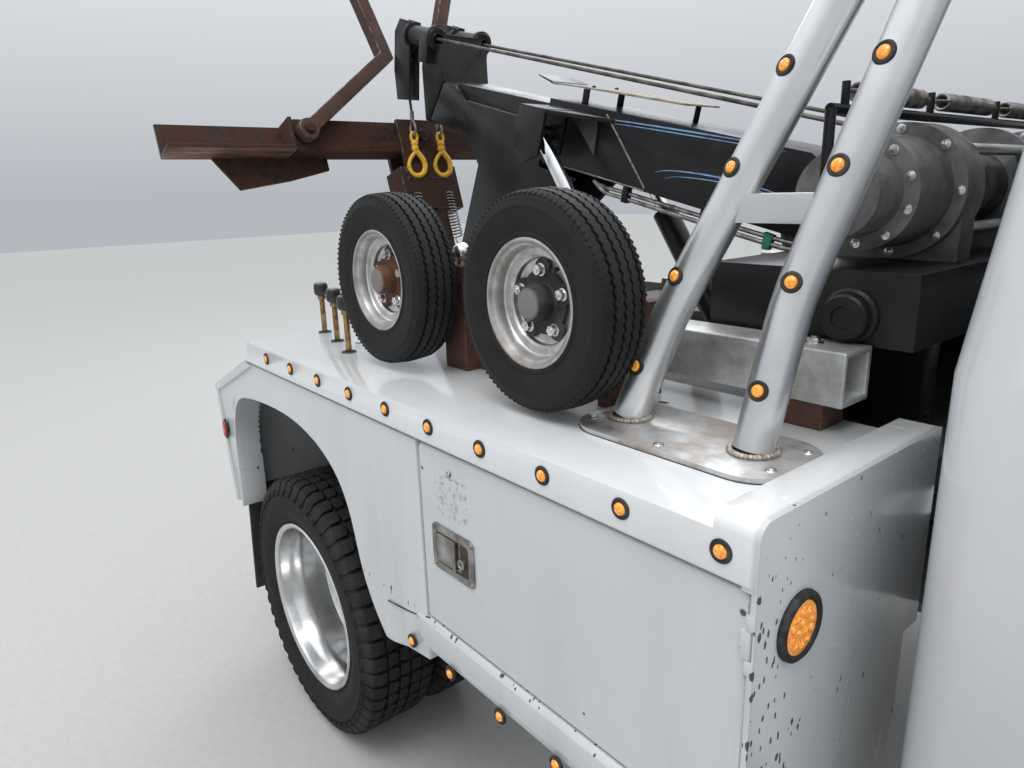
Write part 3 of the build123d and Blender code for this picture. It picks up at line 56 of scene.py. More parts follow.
ACROSS = Vector((0.0, 1.0, 0.0))
UP = Vector((0.0, 0.0, 1.0))


def at(x, y, z):
    return Vector((x + REAR_AXLE, y, z))


def placed(name, data):
    """An object made round its data and linked into the scene."""
    made = bpy.data.objects.new(name, data)
    bpy.context.scene.collection.objects.link(made)
    return made


eye = bpy.data.cameras.new("eye")
eye.lens = 25.165
eye.sensor_width = 36.0
eye.clip_start = 0.02
viewer = placed("viewer", eye)
turn = Matrix(((0.6334631, 0.77321052, -0.02949554), (-0.18539196, 0.18867297, 0.96438184),
    (0.7512352, -0.60543207, 0.26286438))).transposed().to_4x4()
viewer.matrix_world = Matrix.Translation(at(1.908, -1.893, 1.61)) @ turn
bpy.context.scene.camera = viewer


# Floor and light: a plain pale floor, a soft key lamp high over the right side, a weaker fill on the left and
# a sky that grows paler upward, so that each colour renders about as it is written.
class Wire:
    """One output socket of a finish that is being wired; sums and products of wires add their nodes."""

    def __init__(self, finish, out):
        self.finish = finish
        self.out = out

    def math(self, operation, first, second):
        return self.finish.node("ShaderNodeMath", {"operation": operation}, {0: first, 1: second})

    def __add__(self, other):
        return self.math("ADD", self, other)

    def __radd__(self, other):
        return self.math("ADD", other, self)

    def __sub__(self, other):
        return self.math("SUBTRACT", self, other)

    def __rsub__(self, other):
        return self.math("SUBTRACT", other, self)

    def __mul__(self, other):
        return self.math("MULTIPLY", self, other)

    def __rmul__(self, other):
        return self.math("MULTIPLY", other, self)

    def __gt__(self, other):
        return self.math("GREATER_THAN", self, other)

    def __lt__(self, other):
        return self.math("LESS_THAN", self, other)


EVEN = (1.0, 1.0, 1.0)


class Finish:
    """A material under one Principled shader, with short calls for the patterns that the pieces use."""

    def __init__(self, name, slot, color, rough, metal=0.0, **settings):
        self.slot = slot
        self.material = bpy.data.materials.new(name)
        self.material.use_nodes = True
        self.tree = self.material.node_tree
        self.shader = self.tree.nodes["Principled BSDF"]
        settings.update(Base_Color=(*color, 1.0), Roughness=rough, Metallic=metal)
        for key, value in settings.items():
            self.shader.inputs[key.replace("_", " ")].default_value = value
        self.material.diffuse_color = (*color, 1.0)

    def node(self, kind, settings=None, inputs=None, output=0):
        made = self.tree.nodes.new(kind)
        for key, value in (settings or {}).items():
            setattr(made, key, value)
        for key, value in (inputs or {}).items():
            self.feed(made.inputs[key], value)
        return Wire(self, made.outputs[output])

    def feed(self, socket, value):
        if isinstance(value, Wire):
            self.tree.links.new(value.out, socket)
        elif isinstance(value, tuple) and socket.type == "RGBA" and len(value) == 3:
            socket.default_value = (*value, 1.0)
        else:
            socket.default_value = value

    def put(self, name, value):
        self.feed(self.shader.inputs[name], value)

    def place(self, scale=EVEN, move=(0.0, 0.0, 0.0)):
        coords = self.node("ShaderNodeTexCoord", output="Object")
        return self.node("ShaderNodeMapping", {}, {"Vector": coords, "Scale": scale, "Location": move})

    def along(self, axis):
        coords = self.node("ShaderNodeTexCoord", output="Object")
        return self.node("ShaderNodeSeparateXYZ", {}, {0: coords}, output=axis)

    def noise(self, scale, detail=3.0, stretch=EVEN, rough=0.5):
        return self.node("ShaderNodeTexNoise", {}, {"Vector": self.place(stretch), "Scale": scale,
            "Detail": detail, "Roughness": rough}, output="Fac")

    def spots(self, scale, stretch=EVEN):
        return self.node("ShaderNodeTexVoronoi", {}, {"Vector": self.place(stretch), "Scale": scale},
            output="Distance")

    def bands(self, direction, scale):
        return self.node("ShaderNodeTexWave", {"bands_direction": direction},
            {"Vector": self.place(), "Scale": scale}, output="Fac")

    def rings(self, reach, scale, detail):
        return self.node("ShaderNodeTexNoise", {"noise_dimensions": "1D"}, {"W": reach, "Scale": scale,
            "Detail": detail}, output="Fac")

    def ramp(self, value, low, high):
        return self.node("ShaderNodeMapRange", {"clamp": True}, {"Value": value, "From Min": low,
            "From Max": high})

    def between(self, value, low, high, soft):
        """1 where value lies between low and high, fading over soft inside each edge."""
        return self.ramp(value, low, low + soft) * self.ramp(value, high, high - soft)

    def mix(self, mask, first, second):
        return self.node("ShaderNodeMix", {"data_type": "RGBA"}, {"Factor": mask, 6: first, 7: second},
            output=2)

    def bump(self, height, strength, distance):
        return self.node("ShaderNodeBump", {}, {"Height": height, "Strength": strength, "Distance": distance})

    def near(self, spot, reach):
        """1 at the spot, falling to 0 at reach from it."""
        away = self.node("ShaderNodeVectorMath", {"operation": "DISTANCE"}, {0: self.place(), 1: tuple(spot)},
            output="Value")
        return self.ramp(away, reach, 0.0)

    def away_from_axle(self, spot):
        """Distance from a line across the truck through spot."""
        keep = self.place((1.0, 0.0, 1.0), (-spot[0], 0.0, -spot[2]))
        return self.node("ShaderNodeVectorMath", {"operation": "LENGTH"}, {0: keep}, output="Value")

    def coat(self, base, rough, relief=None):
        """Wire the colour, the roughness and the relief, which is (height, strength, distance)."""
        if base:
            self.put("Base Color", base)
        if rough:
            self.put("Roughness", rough)
        if relief:
            self.put("Normal", self.bump(*relief))

    def weather(self, pattern, reach, fresh, aged, dull=None, relief=None):
        """Age the finish by one noise: fresh tint to aged over reach, duller by it, with a relief of its own."""
        worn = self.noise(*pattern)
        mask = self.ramp(worn, *reach) if reach else worn
        self.coat(self.mix(mask, fresh, aged), dull and dull[0] + dull[1] * worn,
            relief and (self.noise(*relief[0]) if relief[0] else worn, *relief[1:]))
        return self

    def shine(self, level):
        self.shader.inputs["Specular IOR Level"].default_value = level


def deselect():
    if bpy.context.object and bpy.context.object.mode != "OBJECT":
        bpy.ops.object.mode_set(mode="OBJECT")
    bpy.ops.object.select_all(action="DESELECT")


floor_finish = Finish("pale_floor", None, (0.45, 0.45, 0.44), 0.9)
floor_finish.weather((38.0, 6.0), None, (0.41, 0.41, 0.4), (0.49, 0.49, 0.48))
deselect()
bpy.ops.mesh.primitive_plane_add(size=60.0, location=(0.0, 0.0, -0.001))
floor = bpy.context.object
floor.name = "floor"
floor.data.materials.append(floor_finish.material)

world = bpy.data.worlds.new("pale_sky")
bpy.context.scene.world = world
world.use_nodes = True
backdrop = world.node_tree.nodes["Background"]
upward, height, paler, sky = (world.node_tree.nodes.new("ShaderNode" + kind) for kind in ("TexCoord",
    "SeparateXYZ", "MapRange", "Mix"))
sky.data_type = "RGBA"
sky.inputs[6].default_value = (0.46, 0.485, 0.52, 1.0)
sky.inputs[7].default_value = (1.55, 1.58, 1.62, 1.0)
for out, socket in ((upward.outputs["Generated"], height.inputs[0]),
    (height.outputs["Z"], paler.inputs["Value"]), (paler.outputs["Result"], sky.inputs["Factor"]),
    (sky.outputs[2], backdrop.inputs["Color"])):
    world.node_tree.links.new(out, socket)
backdrop.inputs["Strength"].default_value = 1.0

for name, place, target, size, watts, tint in (("key", (1.0, -4.0, 8.5), (-0.5, 0.0, 1.0), 4.0, 270.0,
    (1.0, 0.98, 0.95)), ("fill", (-5.0, 5.0, 6.5), (0.0, 0.0, 1.0), 5.0, 200.0, (0.92, 0.96, 1.0))):
    lamp = bpy.data.lights.new(name, "AREA")
    lamp.shape = "DISK"
    lamp.size = size
    lamp.energy = watts
    lamp.color = tint
    holder = placed(name, lamp)
    holder.location = place
    holder.rotation_euler = (Vector(target) - Vector(place)).to_track_quat("-Z", "Y").to_euler()
bpy.context.scene.view_settings.view_transform = "Standard"


# Road tyres: black rubber moulded in one piece, with a zigzag block tread, open shoulder grooves and a smooth
# sidewall. Each carcass is turned on a lathe outline and its tread blocks are cut once and repeated round it.
WHEEL_Z = 0.4
TYRE_RADIUS = 0.4
OUTER_TWIN = 1.078
INNER_TWIN = 0.823
FRONT_AXLE = 3.68
FRONT_WHEEL = 0.95


def take(piece):
    deselect()
    piece.select_set(True)
    bpy.context.view_layer.objects.active = piece


def mode(kind):
    bpy.ops.object.mode_set(mode=kind)


def edit_all(piece):
    take(piece)
    mode("EDIT")
    bpy.ops.mesh.select_all(action="SELECT")


def face_out():
    bpy.ops.mesh.select_all(action="SELECT")
    bpy.ops.mesh.normals_make_consistent(inside=False)
    mode("OBJECT")


def settle():
    bpy.ops.object.transform_apply(location=True, rotation=True, scale=True)


def copied(piece):
    """A second piece like the first, with its own mesh, taken in hand."""
    take(piece)
    bpy.ops.object.duplicate(linked=False)
    return bpy.context.object


def changed(piece, kind, **settings):
    """Run one modifier over a piece and apply it."""
    take(piece)
    step = piece.modifiers.new("step", kind)
    for key, value in settings.items():
        setattr(step, key, value)
    bpy.ops.object.modifier_apply(modifier="step")
    return piece


def drawn(name, points, closed=True, kind="POLY", **settings):
    """A line through the points, or a bar bent along it where settings give it a thickness, as a mesh."""
    deselect()
    line = bpy.data.curves.new(name, "CURVE")
    line.dimensions = "3D"
    for key, value in settings.items():
        setattr(line, key, value)
    run = line.splines.new(kind)
    run.points.add(len(points) - 1)
    for spot, place in zip(run.points, points):
        spot.co = (*place, 1.0)
    if kind == "NURBS":
        run.order_u = 3
        run.use_endpoint_u = not closed
    run.use_cyclic_u = closed
    take(placed(name, line))
    bpy.ops.object.convert(target="MESH")
    return bpy.context.object


def spun(name, outline, centre, axis=ACROSS, steps=96):
    """Turn a closed outline of (radius, offset) points round a line through centre, as on a lathe."""
    out = axis.cross(UP)
    if out.length < 0.1:
        out = FORWARD.copy()
    out.normalize()
    piece = drawn(name, [centre + out * r + axis * o for r, o in outline])
    edit_all(piece)
    bpy.ops.mesh.spin(steps=steps, angle=math.tau, center=centre, axis=axis)
    bpy.ops.mesh.select_all(action="SELECT")
    bpy.ops.mesh.remove_doubles(threshold=0.00001)
    face_out()
    return piece


def cut_plate(name, corners, thick):
    """A flat outline filled and pushed out by the vector thick."""
    piece = drawn(name, corners)
    edit_all(piece)
    bpy.ops.mesh.edge_face_add()
    bpy.ops.mesh.extrude_region_move(TRANSFORM_OT_translate={"value": thick})
    face_out()
    return piece


def side_plate(name, x0, x1, y, z0, z1, thick):
    """A rectangle that faces sideways, pushed out by thick."""
    return cut_plate(name, [at(x0, y, z0), at(x1, y, z0), at(x1, y, z1), at(x0, y, z1)], ACROSS * thick)


def end_plate(name, x, y0, y1, z0, z1, thick):
    """A rectangle that faces forward or back, pushed out by thick."""
    return cut_plate(name, [at(x, y0, z0), at(x, y1, z0), at(x, y1, z1), at(x, y0, z1)], FORWARD * thick)


def eased(piece, width, segments=1, angle=30.0, **settings):
    """Round the sharp edges of a piece."""
    return changed(piece, "BEVEL", width=width, segments=segments, limit_method="ANGLE",
        angle_limit=math.radians(angle), **settings)


def ringed(piece, count, centre, axis=ACROSS):
    """Repeat a piece round a line through centre until there are count of it."""
    edit_all(piece)
    bpy.ops.mesh.spin(steps=count - 1, dupli=True, angle=math.tau * (count - 1) / count, center=centre,
        axis=axis)
    mode("OBJECT")
    return piece


def joined(name, *parts):
    deselect()
    for part in parts:
        part.select_set(True)
    bpy.context.view_layer.objects.active = parts[0]
    if len(parts) > 1:
        bpy.ops.object.join()
    bpy.context.object.name = name
    return bpy.context.object


def kept(piece, name, finish, body, smooth=35.0):
    """Name a finished piece, joined first where it is a list, give it its finish and set it on its body."""
    if isinstance(piece, list):
        piece = joined(name, *piece)
    take(piece)
    piece.name = name
    settle()
    piece.data.materials.clear()
    piece.data.materials.append(finish.material)
    bpy.ops.object.shade_smooth_by_angle(angle=math.radians(smooth))
    if body:
        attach(piece, body)
    return piece


def twin_of(piece, name, body, move=(0.0, 0.0, 0.0), flip=False):
    """A copy, moved, or turned over to the other side of the truck, on the body named."""
    other = copied(piece)
    other.name = name
    if "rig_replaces" in other:
        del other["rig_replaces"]
    if flip:
        other.scale = (1.0, -1.0, 1.0)
    other.location = Vector(move)
    settle()
    if flip:
        edit_all(other)
        face_out()
    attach(other, body)
    return other


def pair(piece, name, finish, body, smooth=35.0):
    """A finished piece on the left side and its copy turned over to the right one."""
    left = kept(piece, name + "_left", finish, body, smooth)
    return left, twin_of(left, name + "_right", body.replace("left", "right"), flip=True)


LOW_SHINE = 0.22


def rubber_round(name, spot):
    """Tyre rubber about a wheel centre: dusty grooves, worn tread, faint rings on the sidewall."""
    rubber = Finish(name, "tyre", (0.02, 0.02, 0.021), 0.72)
    radius = rubber.away_from_axle(spot)
    dusty = rubber.noise(14.0, 6.0, rough=0.65)
    groove = rubber.ramp(radius, TYRE_RADIUS - 0.005, TYRE_RADIUS - 0.01) * rubber.ramp(radius,
        TYRE_RADIUS - 0.045, TYRE_RADIUS - 0.03)
    bloom = rubber.ramp(radius, TYRE_RADIUS * 0.8, TYRE_RADIUS * 0.66) * rubber.ramp(dusty, 0.42, 0.62)
    base = rubber.mix(rubber.ramp(dusty, 0.3, 0.75), (0.008, 0.008, 0.009), (0.019, 0.018, 0.018))
    base = rubber.mix(groove * 0.55 * rubber.ramp(dusty, 0.35, 0.6), base, (0.046, 0.041, 0.036))
    base = rubber.mix(bloom * 0.5, base, (0.044, 0.031, 0.024))
    tops = rubber.ramp(radius, TYRE_RADIUS - 0.0035, TYRE_RADIUS - 0.0005)
    base = rubber.mix(tops * rubber.ramp(dusty, 0.3, 0.7) * 0.6, base, (0.034, 0.033, 0.032))
    faint = rubber.rings(radius, 260.0, 3.0) * 0.6 + rubber.noise(420.0, 3.0) * 0.4
    rubber.coat(base, 0.58 + 0.28 * dusty, (faint, 0.22, 0.0012))
    rubber.shine(LOW_SHINE)
    return rubber


rear_rubber = rubber_round("rear_tyre_rubber", at(0.0, 0.0, WHEEL_Z))
front_rubber = rubber_round("front_tyre_rubber", at(FRONT_AXLE, 0.0, WHEEL_Z))

CARCASS = ((0.2479, -0.0872), (0.256, -0.0905), (0.264, -0.0935), (0.2665, -0.0975), (0.27, -0.0985),
    (0.2725, -0.0975), (0.286, -0.105), (0.305, -0.1105), (0.327, -0.1124), (0.342, -0.111), (0.344, -0.1122),
    (0.347, -0.1118), (0.349, -0.1094), (0.362, -0.104), (0.376, -0.0985), (0.385, -0.092), (0.3872, -0.082),
    (0.3875, 0.082), (0.385, 0.092), (0.376, 0.0985), (0.362, 0.104), (0.349, 0.1094), (0.347, 0.1118),
    (0.344, 0.1122), (0.342, 0.111), (0.327, 0.1124), (0.305, 0.1105), (0.286, 0.105), (0.2725, 0.0975),
    (0.27, 0.0985), (0.2665, 0.0975), (0.264, 0.0935), (0.256, 0.0905), (0.2479, 0.0872))
TREAD_REPEATS = 52
centre = at(0.0, OUTER_TWIN, WHEEL_Z)
carcass = spun("carcass", CARCASS, centre, steps=104)


def tread_block(outline, low, high):
    """One rubber block on the crown of the tyre, drawn from above as (round, across) points."""
    top = [centre + Vector((along, across, high)) for along, across in outline]
    return cut_plate("block", top, UP * (low - high))


def sliced(piece, spot, normal):
    """Cut away what lies beyond a plane and close the cut."""
    edit_all(piece)
    bpy.ops.mesh.bisect(plane_co=spot, plane_no=normal, use_fill=True, clear_outer=True)
    face_out()


tread = []
shoulder = tread_block(((-0.0185, 0.059), (-0.012, 0.0545), (0.006, 0.0565), (0.019, 0.061), (0.0196, 0.085),
    (0.018, 0.108), (-0.017, 0.108), (-0.019, 0.085)), 0.366, 0.4)
sliced(shoulder, centre + Vector((0.0, 0.081, 0.4)), Vector((0.0, 0.495, 0.869)))
sliced(shoulder, centre + Vector((0.0, 0.0968, 0.391)), Vector((0.0, 0.914, 0.405)))
tread.append(eased(shoulder, 0.0016))
lug = tread_block(((-0.014, 0.1), (0.014, 0.1), (0.012, 0.1125), (-0.012, 0.1125)), 0.352, 0.3655)
sliced(lug, centre + Vector((0.0, 0.106, 0.3655)), Vector((0.0, 0.6, 0.8)))
tread.append(eased(lug, 0.0012))
middle = tread_block(((-0.019, 0.022), (-0.004, 0.0185), (0.012, 0.0225), (0.02, 0.027), (0.0205, 0.048),
    (0.006, 0.0525), (-0.011, 0.05), (-0.02, 0.0455)), 0.384, 0.4)
tread.append(eased(middle, 0.0014))
for block in list(tread):
    far = copied(block)
    bpy.ops.transform.rotate(value=math.pi, orient_axis="Z", center_override=centre)
    tread.append(far)
tread.append(eased(tread_block(((-0.0205, -0.011), (0.002, -0.015), (0.02, -0.012), (0.018, 0.012),
    (-0.002, 0.015), (-0.0215, 0.012)), 0.384, 0.4), 0.0014))
tread = joined("tread", *tread)
settle()
ringed(tread, TREAD_REPEATS, centre)
outer_left = kept([carcass, tread], "rear_tyre_left_outer", rear_rubber, "rear_wheels_left", 40.0)
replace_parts(outer_left, "rear_tyres_left")
spacing = INNER_TWIN - OUTER_TWIN
twin_of(outer_left, "rear_tyre_left_inner", "rear_wheels_left", (0.0, spacing, 0.0))
outer_right = twin_of(outer_left, "rear_tyre_right_outer", "rear_wheels_right", flip=True)
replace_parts(outer_right, "rear_tyres_right")
twin_of(outer_right, "rear_tyre_right_inner", "rear_wheels_right", (0.0, -spacing, 0.0))
for side, sign in (("left", 1.0), ("right", -1.0)):
    source = outer_left if sign > 0 else outer_right
    steer = twin_of(source, f"front_tyre_{side}_made", f"front_wheel_{side}",
        (FRONT_AXLE, sign * (FRONT_WHEEL - OUTER_TWIN), 0.0))
    steer.data.materials.clear()
    steer.data.materials.append(front_rubber.material)
    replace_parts(steer, f"front_tyre_{side}")


# Road wheels: forged aluminium, polished, with a deep dish on the outer rear wheel, hand holes behind the
# dish, ten plated nuts and a bolted hub flange in the middle.
def polish_round(name, spot):
    """Polished aluminium with lathe rings about spot, and a cloudy film where it has oxidised."""
    metal = Finish(name, "polished_aluminium", (0.8, 0.81, 0.82), 0.16, 1.0)
    radius = metal.away_from_axle(spot)
    rings = metal.rings(radius + metal.along(1) * 0.6, 900.0, 2.0)
    cloud = metal.noise(9.0, 5.0, rough=0.6)
    spray = metal.ramp(metal.spots(130.0), 0.18, 0.05) * metal.ramp(cloud, 0.45, 0.62)
    base = metal.mix(metal.ramp(cloud, 0.35, 0.7), (0.74, 0.75, 0.76), (0.48, 0.48, 0.47))
    base = metal.mix(spray * 0.5, base, (0.24, 0.21, 0.18))
    metal.coat(base, 0.13 + 0.16 * metal.ramp(cloud, 0.35, 0.7) + 0.3 * spray, (rings, 0.1, 0.0006))
    return metal


rear_polish = polish_round("rear_rim_polish", at(0.0, 0.0, WHEEL_Z))
front_polish = polish_round("front_rim_polish", at(FRONT_AXLE, 0.0, WHEEL_Z))
hub_zinc = Finish("hub_zinc", "cast_iron", (0.42, 0.42, 0.41), 0.42, 0.85).weather((22.0, 5.0), (0.4, 0.68),
    (0.52, 0.52, 0.51), (0.2, 0.16, 0.13), (0.3, 0.35), ((160.0, 3.0), 0.25, 0.0008))
nut_plate = Finish("nut_plating", "bright_chrome", (0.72, 0.72, 0.72), 0.14, 1.0).weather((60.0, 4.0),
    (0.5, 0.7), (0.78, 0.78, 0.78), (0.32, 0.27, 0.22), (0.12, 0.3))


def drilled(piece, cutters):
    """Cut holes through a piece with another mesh, which is then taken away."""
    changed(piece, "BOOLEAN", operation="DIFFERENCE", solver="EXACT", object=cutters)
    bpy.data.objects.remove(cutters)
    return piece


def rod(name, start, end, radius, sides=24, ease=0.0008):
    """A round bar from start to end with eased rims."""
    deselect()
    run = Vector(end) - Vector(start)
    bpy.ops.mesh.primitive_cylinder_add(vertices=sides, radius=radius, depth=run.length,
        location=(Vector(start) + Vector(end)) / 2, rotation=run.to_track_quat("Z", "Y").to_euler())
    settle()
    piece = bpy.context.object
    piece.name = name
    if ease:
        eased(piece, ease, 2, 40.0)
    return piece


def nut(name, spot, way, size, height, washer=0.0):
    """A hexagon nut or bolt head standing on a round washer face."""
    way = Vector(way).normalized()
    spot = Vector(spot)
    head = rod(name, spot, spot + way * height, size, 6, size * 0.08)
    parts = [head, rod(name, spot + way * height * 0.9, spot + way * (height + size * 0.25), size * 0.5, 12,
        size * 0.08)]
    if washer:
        parts.append(rod(name, spot, spot + way * height * 0.22, washer, 20, size * 0.06))
    return joined(name, *parts)


def mirrored(pieces, body):
    """Copies of left-hand pieces turned over to the right side, on the body named."""
    return [twin_of(piece, piece.name.replace("left", "right"), body, flip=True) for piece in pieces]


OUTER_RIM = ((0.2495, 1.1768), (0.2535, 1.1785), (0.258, 1.178), (0.2603, 1.1755), (0.2603, 1.17),
    (0.253, 1.1685), (0.2474, 1.165), (0.2474, 1.135), (0.236, 1.115), (0.234, 1.04), (0.2474, 1.02),
    (0.2474, 0.99), (0.2603, 0.9865), (0.2603, 0.9785), (0.236, 0.9785), (0.216, 0.979), (0.1856, 0.9508),
    (0.083, 0.9508), (0.083, 0.9728), (0.15, 0.9728), (0.152, 0.9745), (0.173, 0.9745), (0.181, 0.9775),
    (0.188, 0.986), (0.199, 0.996), (0.208, 1.006), (0.213, 1.014), (0.218, 1.018), (0.223, 1.024),
    (0.2245, 1.033), (0.2255, 1.043), (0.2262, 1.09), (0.2285, 1.115), (0.2345, 1.13), (0.2385, 1.145),
    (0.2405, 1.162), (0.243, 1.172))
INNER_RIM = ((0.2376, 0.922), (0.2603, 0.922), (0.2603, 0.914), (0.2474, 0.911), (0.2474, 0.88), (0.236, 0.86),
    (0.234, 0.79), (0.2474, 0.76), (0.2474, 0.735), (0.2603, 0.732), (0.2603, 0.724), (0.2376, 0.724),
    (0.228, 0.79), (0.228, 0.85), (0.225, 0.89), (0.187, 0.929), (0.083, 0.929), (0.083, 0.9505),
    (0.1856, 0.9505), (0.233, 0.923))
HAND_HOLE = 0.0165
WHEEL_HOLES = 10
WHEEL_NUT = (0.0165, 0.026, 0.0215)
line = at(0.0, 0.0, WHEEL_Z)
dish = spun("dish", OUTER_RIM, line, steps=96)
hole = rod("hand_hole", at(0.197, 0.9, WHEEL_Z), at(0.197, 1.06, WHEEL_Z), HAND_HOLE, 20, 0.0)
drilled(dish, ringed(hole, WHEEL_HOLES, line))
dish = kept(dish, "rear_rim_left_outer", rear_polish, "rear_wheels_left", 28.0)
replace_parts(dish, "rear_rims_left")
barrel = kept(spun("barrel", INNER_RIM, line, steps=72), "rear_rim_left_inner", rear_polish, "rear_wheels_left")
nuts = ringed(nut("nut", at(0.116, 0.9728, WHEEL_Z), ACROSS, *WHEEL_NUT), WHEEL_HOLES, line)
nuts = kept(nuts, "rear_nuts_left", nut_plate, "rear_wheels_left")
hub = spun("hub", ((0.0, 0.94), (0.0825, 0.94), (0.0825, 1.024), (0.087, 1.027), (0.087, 1.042), (0.084, 1.045),
    (0.056, 1.047), (0.052, 1.05), (0.05, 1.062), (0.046, 1.066), (0.028, 1.068), (0.024, 1.064),
    (0.0, 1.0635)), line, steps=64)
flange = ringed(nut("flange_bolt", at(0.07, 1.045, WHEEL_Z), ACROSS, 0.0085, 0.01, 0.011), 8, line)
hub = kept([hub, flange], "rear_hub_left", hub_zinc, "rear_wheels_left")
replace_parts(mirrored((dish, barrel, nuts, hub), "rear_wheels_right")[0], "rear_rims_right")

FRONT_RIM = ((0.2495, 1.0488), (0.2535, 1.0505), (0.258, 1.05), (0.2603, 1.0475), (0.2603, 1.042),
    (0.2474, 1.037), (0.2474, 1.007), (0.236, 0.987), (0.234, 0.912), (0.2474, 0.882), (0.2474, 0.862),
    (0.2603, 0.8585), (0.2603, 0.8505), (0.2376, 0.8505), (0.229, 0.915), (0.19, 0.966), (0.096, 0.968),
    (0.096, 0.99), (0.15, 0.9902), (0.178, 0.99), (0.187, 0.988), (0.199, 0.98), (0.218, 0.956), (0.224, 0.95),
    (0.23, 0.956), (0.233, 0.975), (0.2385, 1.017), (0.2405, 1.034), (0.243, 1.044))
line = at(FRONT_AXLE, 0.0, WHEEL_Z)
disc = spun("disc", FRONT_RIM, line, steps=96)
hole = rod("hand_hole", line + Vector((0.205, 0.9, 0.0)), line + Vector((0.205, 1.04, 0.0)), HAND_HOLE, 20, 0.0)
drilled(disc, ringed(hole, WHEEL_HOLES, line))
disc = kept(disc, "front_rim_left_made", front_polish, "front_wheel_left", 28.0)
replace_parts(disc, "front_rim_left")
nuts = ringed(nut("nut", line + Vector((0.126, 0.9901, 0.0)), ACROSS, *WHEEL_NUT), WHEEL_HOLES, line)
nuts = kept(nuts, "front_nuts_left", nut_plate, "front_wheel_left")
cap = spun("cap", ((0.0, 0.94), (0.0955, 0.94), (0.0955, 1.012), (0.09, 1.018), (0.076, 1.024), (0.07, 1.03),
    (0.069, 1.056), (0.064, 1.065), (0.052, 1.0695), (0.0, 1.07)), line, steps=64)
cap = kept(cap, "front_hub_left", hub_zinc, "front_wheel_left")
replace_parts(mirrored((disc, nuts, cap), "front_wheel_right")[0], "front_rim_right")


# Ladder frame, axles and steering knuckles: pressed and forged steel in chassis black, dulled by road dust,
# with rust where stones have chipped it. The shapes are the frame's own, with their edges rounded.
BODY_OF = {node: body for body, nodes in frame["record"]["behaviour"]["bodies"].items() for node in nodes}


def shaped(node, finish, width=0.003, edge=None, segments=2, angle=30.0, smooth=32.0):
    """The frame's own piece, its triangles merged into faces again and its edges rounded."""
    source = frame["nodes"][node]
    piece = placed(node + "_made", source.data.copy())
    take(piece)
    if piece.data.has_custom_normals:
        bpy.ops.mesh.customdata_custom_splitnormals_clear()
    edit_all(piece)
    bpy.ops.mesh.remove_doubles(threshold=0.00002)
    bpy.ops.mesh.dissolve_limited(angle_limit=math.radians(0.5))
    mode("OBJECT")
    piece.data.materials.clear()
    piece.data.materials.append(finish.material)
    if edge:
        piece.data.materials.append(edge.material)
    if width:
        eased(piece, width, segments, angle, material=1 if edge else -1)
    bpy.ops.object.shade_smooth_by_angle(angle=math.radians(smooth))
    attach(piece, BODY_OF[node])
    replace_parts(piece, node)
    return piece


def painted_steel(name, slot, coat, rust, rough, chips=0.62, dust=(0.2, 0.18, 0.15), dusty=0.25):
    """Paint on steel: dust lying in broad patches, rust through fine chips, and a slightly uneven coat."""
    paint = Finish(name, slot, coat, rough)
    broad = paint.noise(3.5, 5.0, rough=0.6)
    fine = paint.noise(34.0, 5.0, rough=0.7)
    chip = paint.ramp(fine + 0.25 * broad, chips + 0.1, chips + 0.16)
    base = paint.mix(paint.ramp(broad, 0.42, 0.72) * dusty, coat, dust)
    paint.coat(paint.mix(chip, base, rust), rough + 0.15 * paint.ramp(broad, 0.4, 0.7) + 0.3 * chip,
        (paint.noise(140.0, 3.0) * 0.4 + fine * 0.6 - chip * 0.5, 0.25, 0.0008))
    return paint


def bare_edge(name, slot, color, rough, metal=0.7):
    """The rubbed edge of a painted piece, where the metal under the paint shows."""
    worn = Finish(name, slot, color, rough, metal)
    patch = worn.noise(26.0, 5.0, rough=0.7)
    worn.coat(worn.mix(worn.ramp(patch, 0.42, 0.62), tuple(c * 0.16 for c in color), color),
        rough + 0.25 * patch, (patch, 0.2, 0.0006))
    return worn


chassis_black = painted_steel("chassis_black", "chassis_steel", (0.022, 0.022, 0.024), (0.11, 0.055, 0.03), 0.5,
    0.62)
chassis_edge = bare_edge("chassis_edge", "chassis_steel", (0.1, 0.08, 0.07), 0.5)
shaped("frame_rails", chassis_black, 0.004, chassis_edge)
shaped("axles", chassis_black, 0.004, chassis_edge)
bolt = nut("cover_bolt", at(-0.0755, 0.0, WHEEL_Z + 0.145), -FORWARD, 0.009, 0.01)
kept(ringed(bolt, 10, at(0.0, 0.0, WHEEL_Z), FORWARD), "axle_cover_bolts", chassis_black, "chassis")
for side in ("left", "right"):
    shaped("steering_knuckle_" + side, chassis_black, 0.004, chassis_edge)


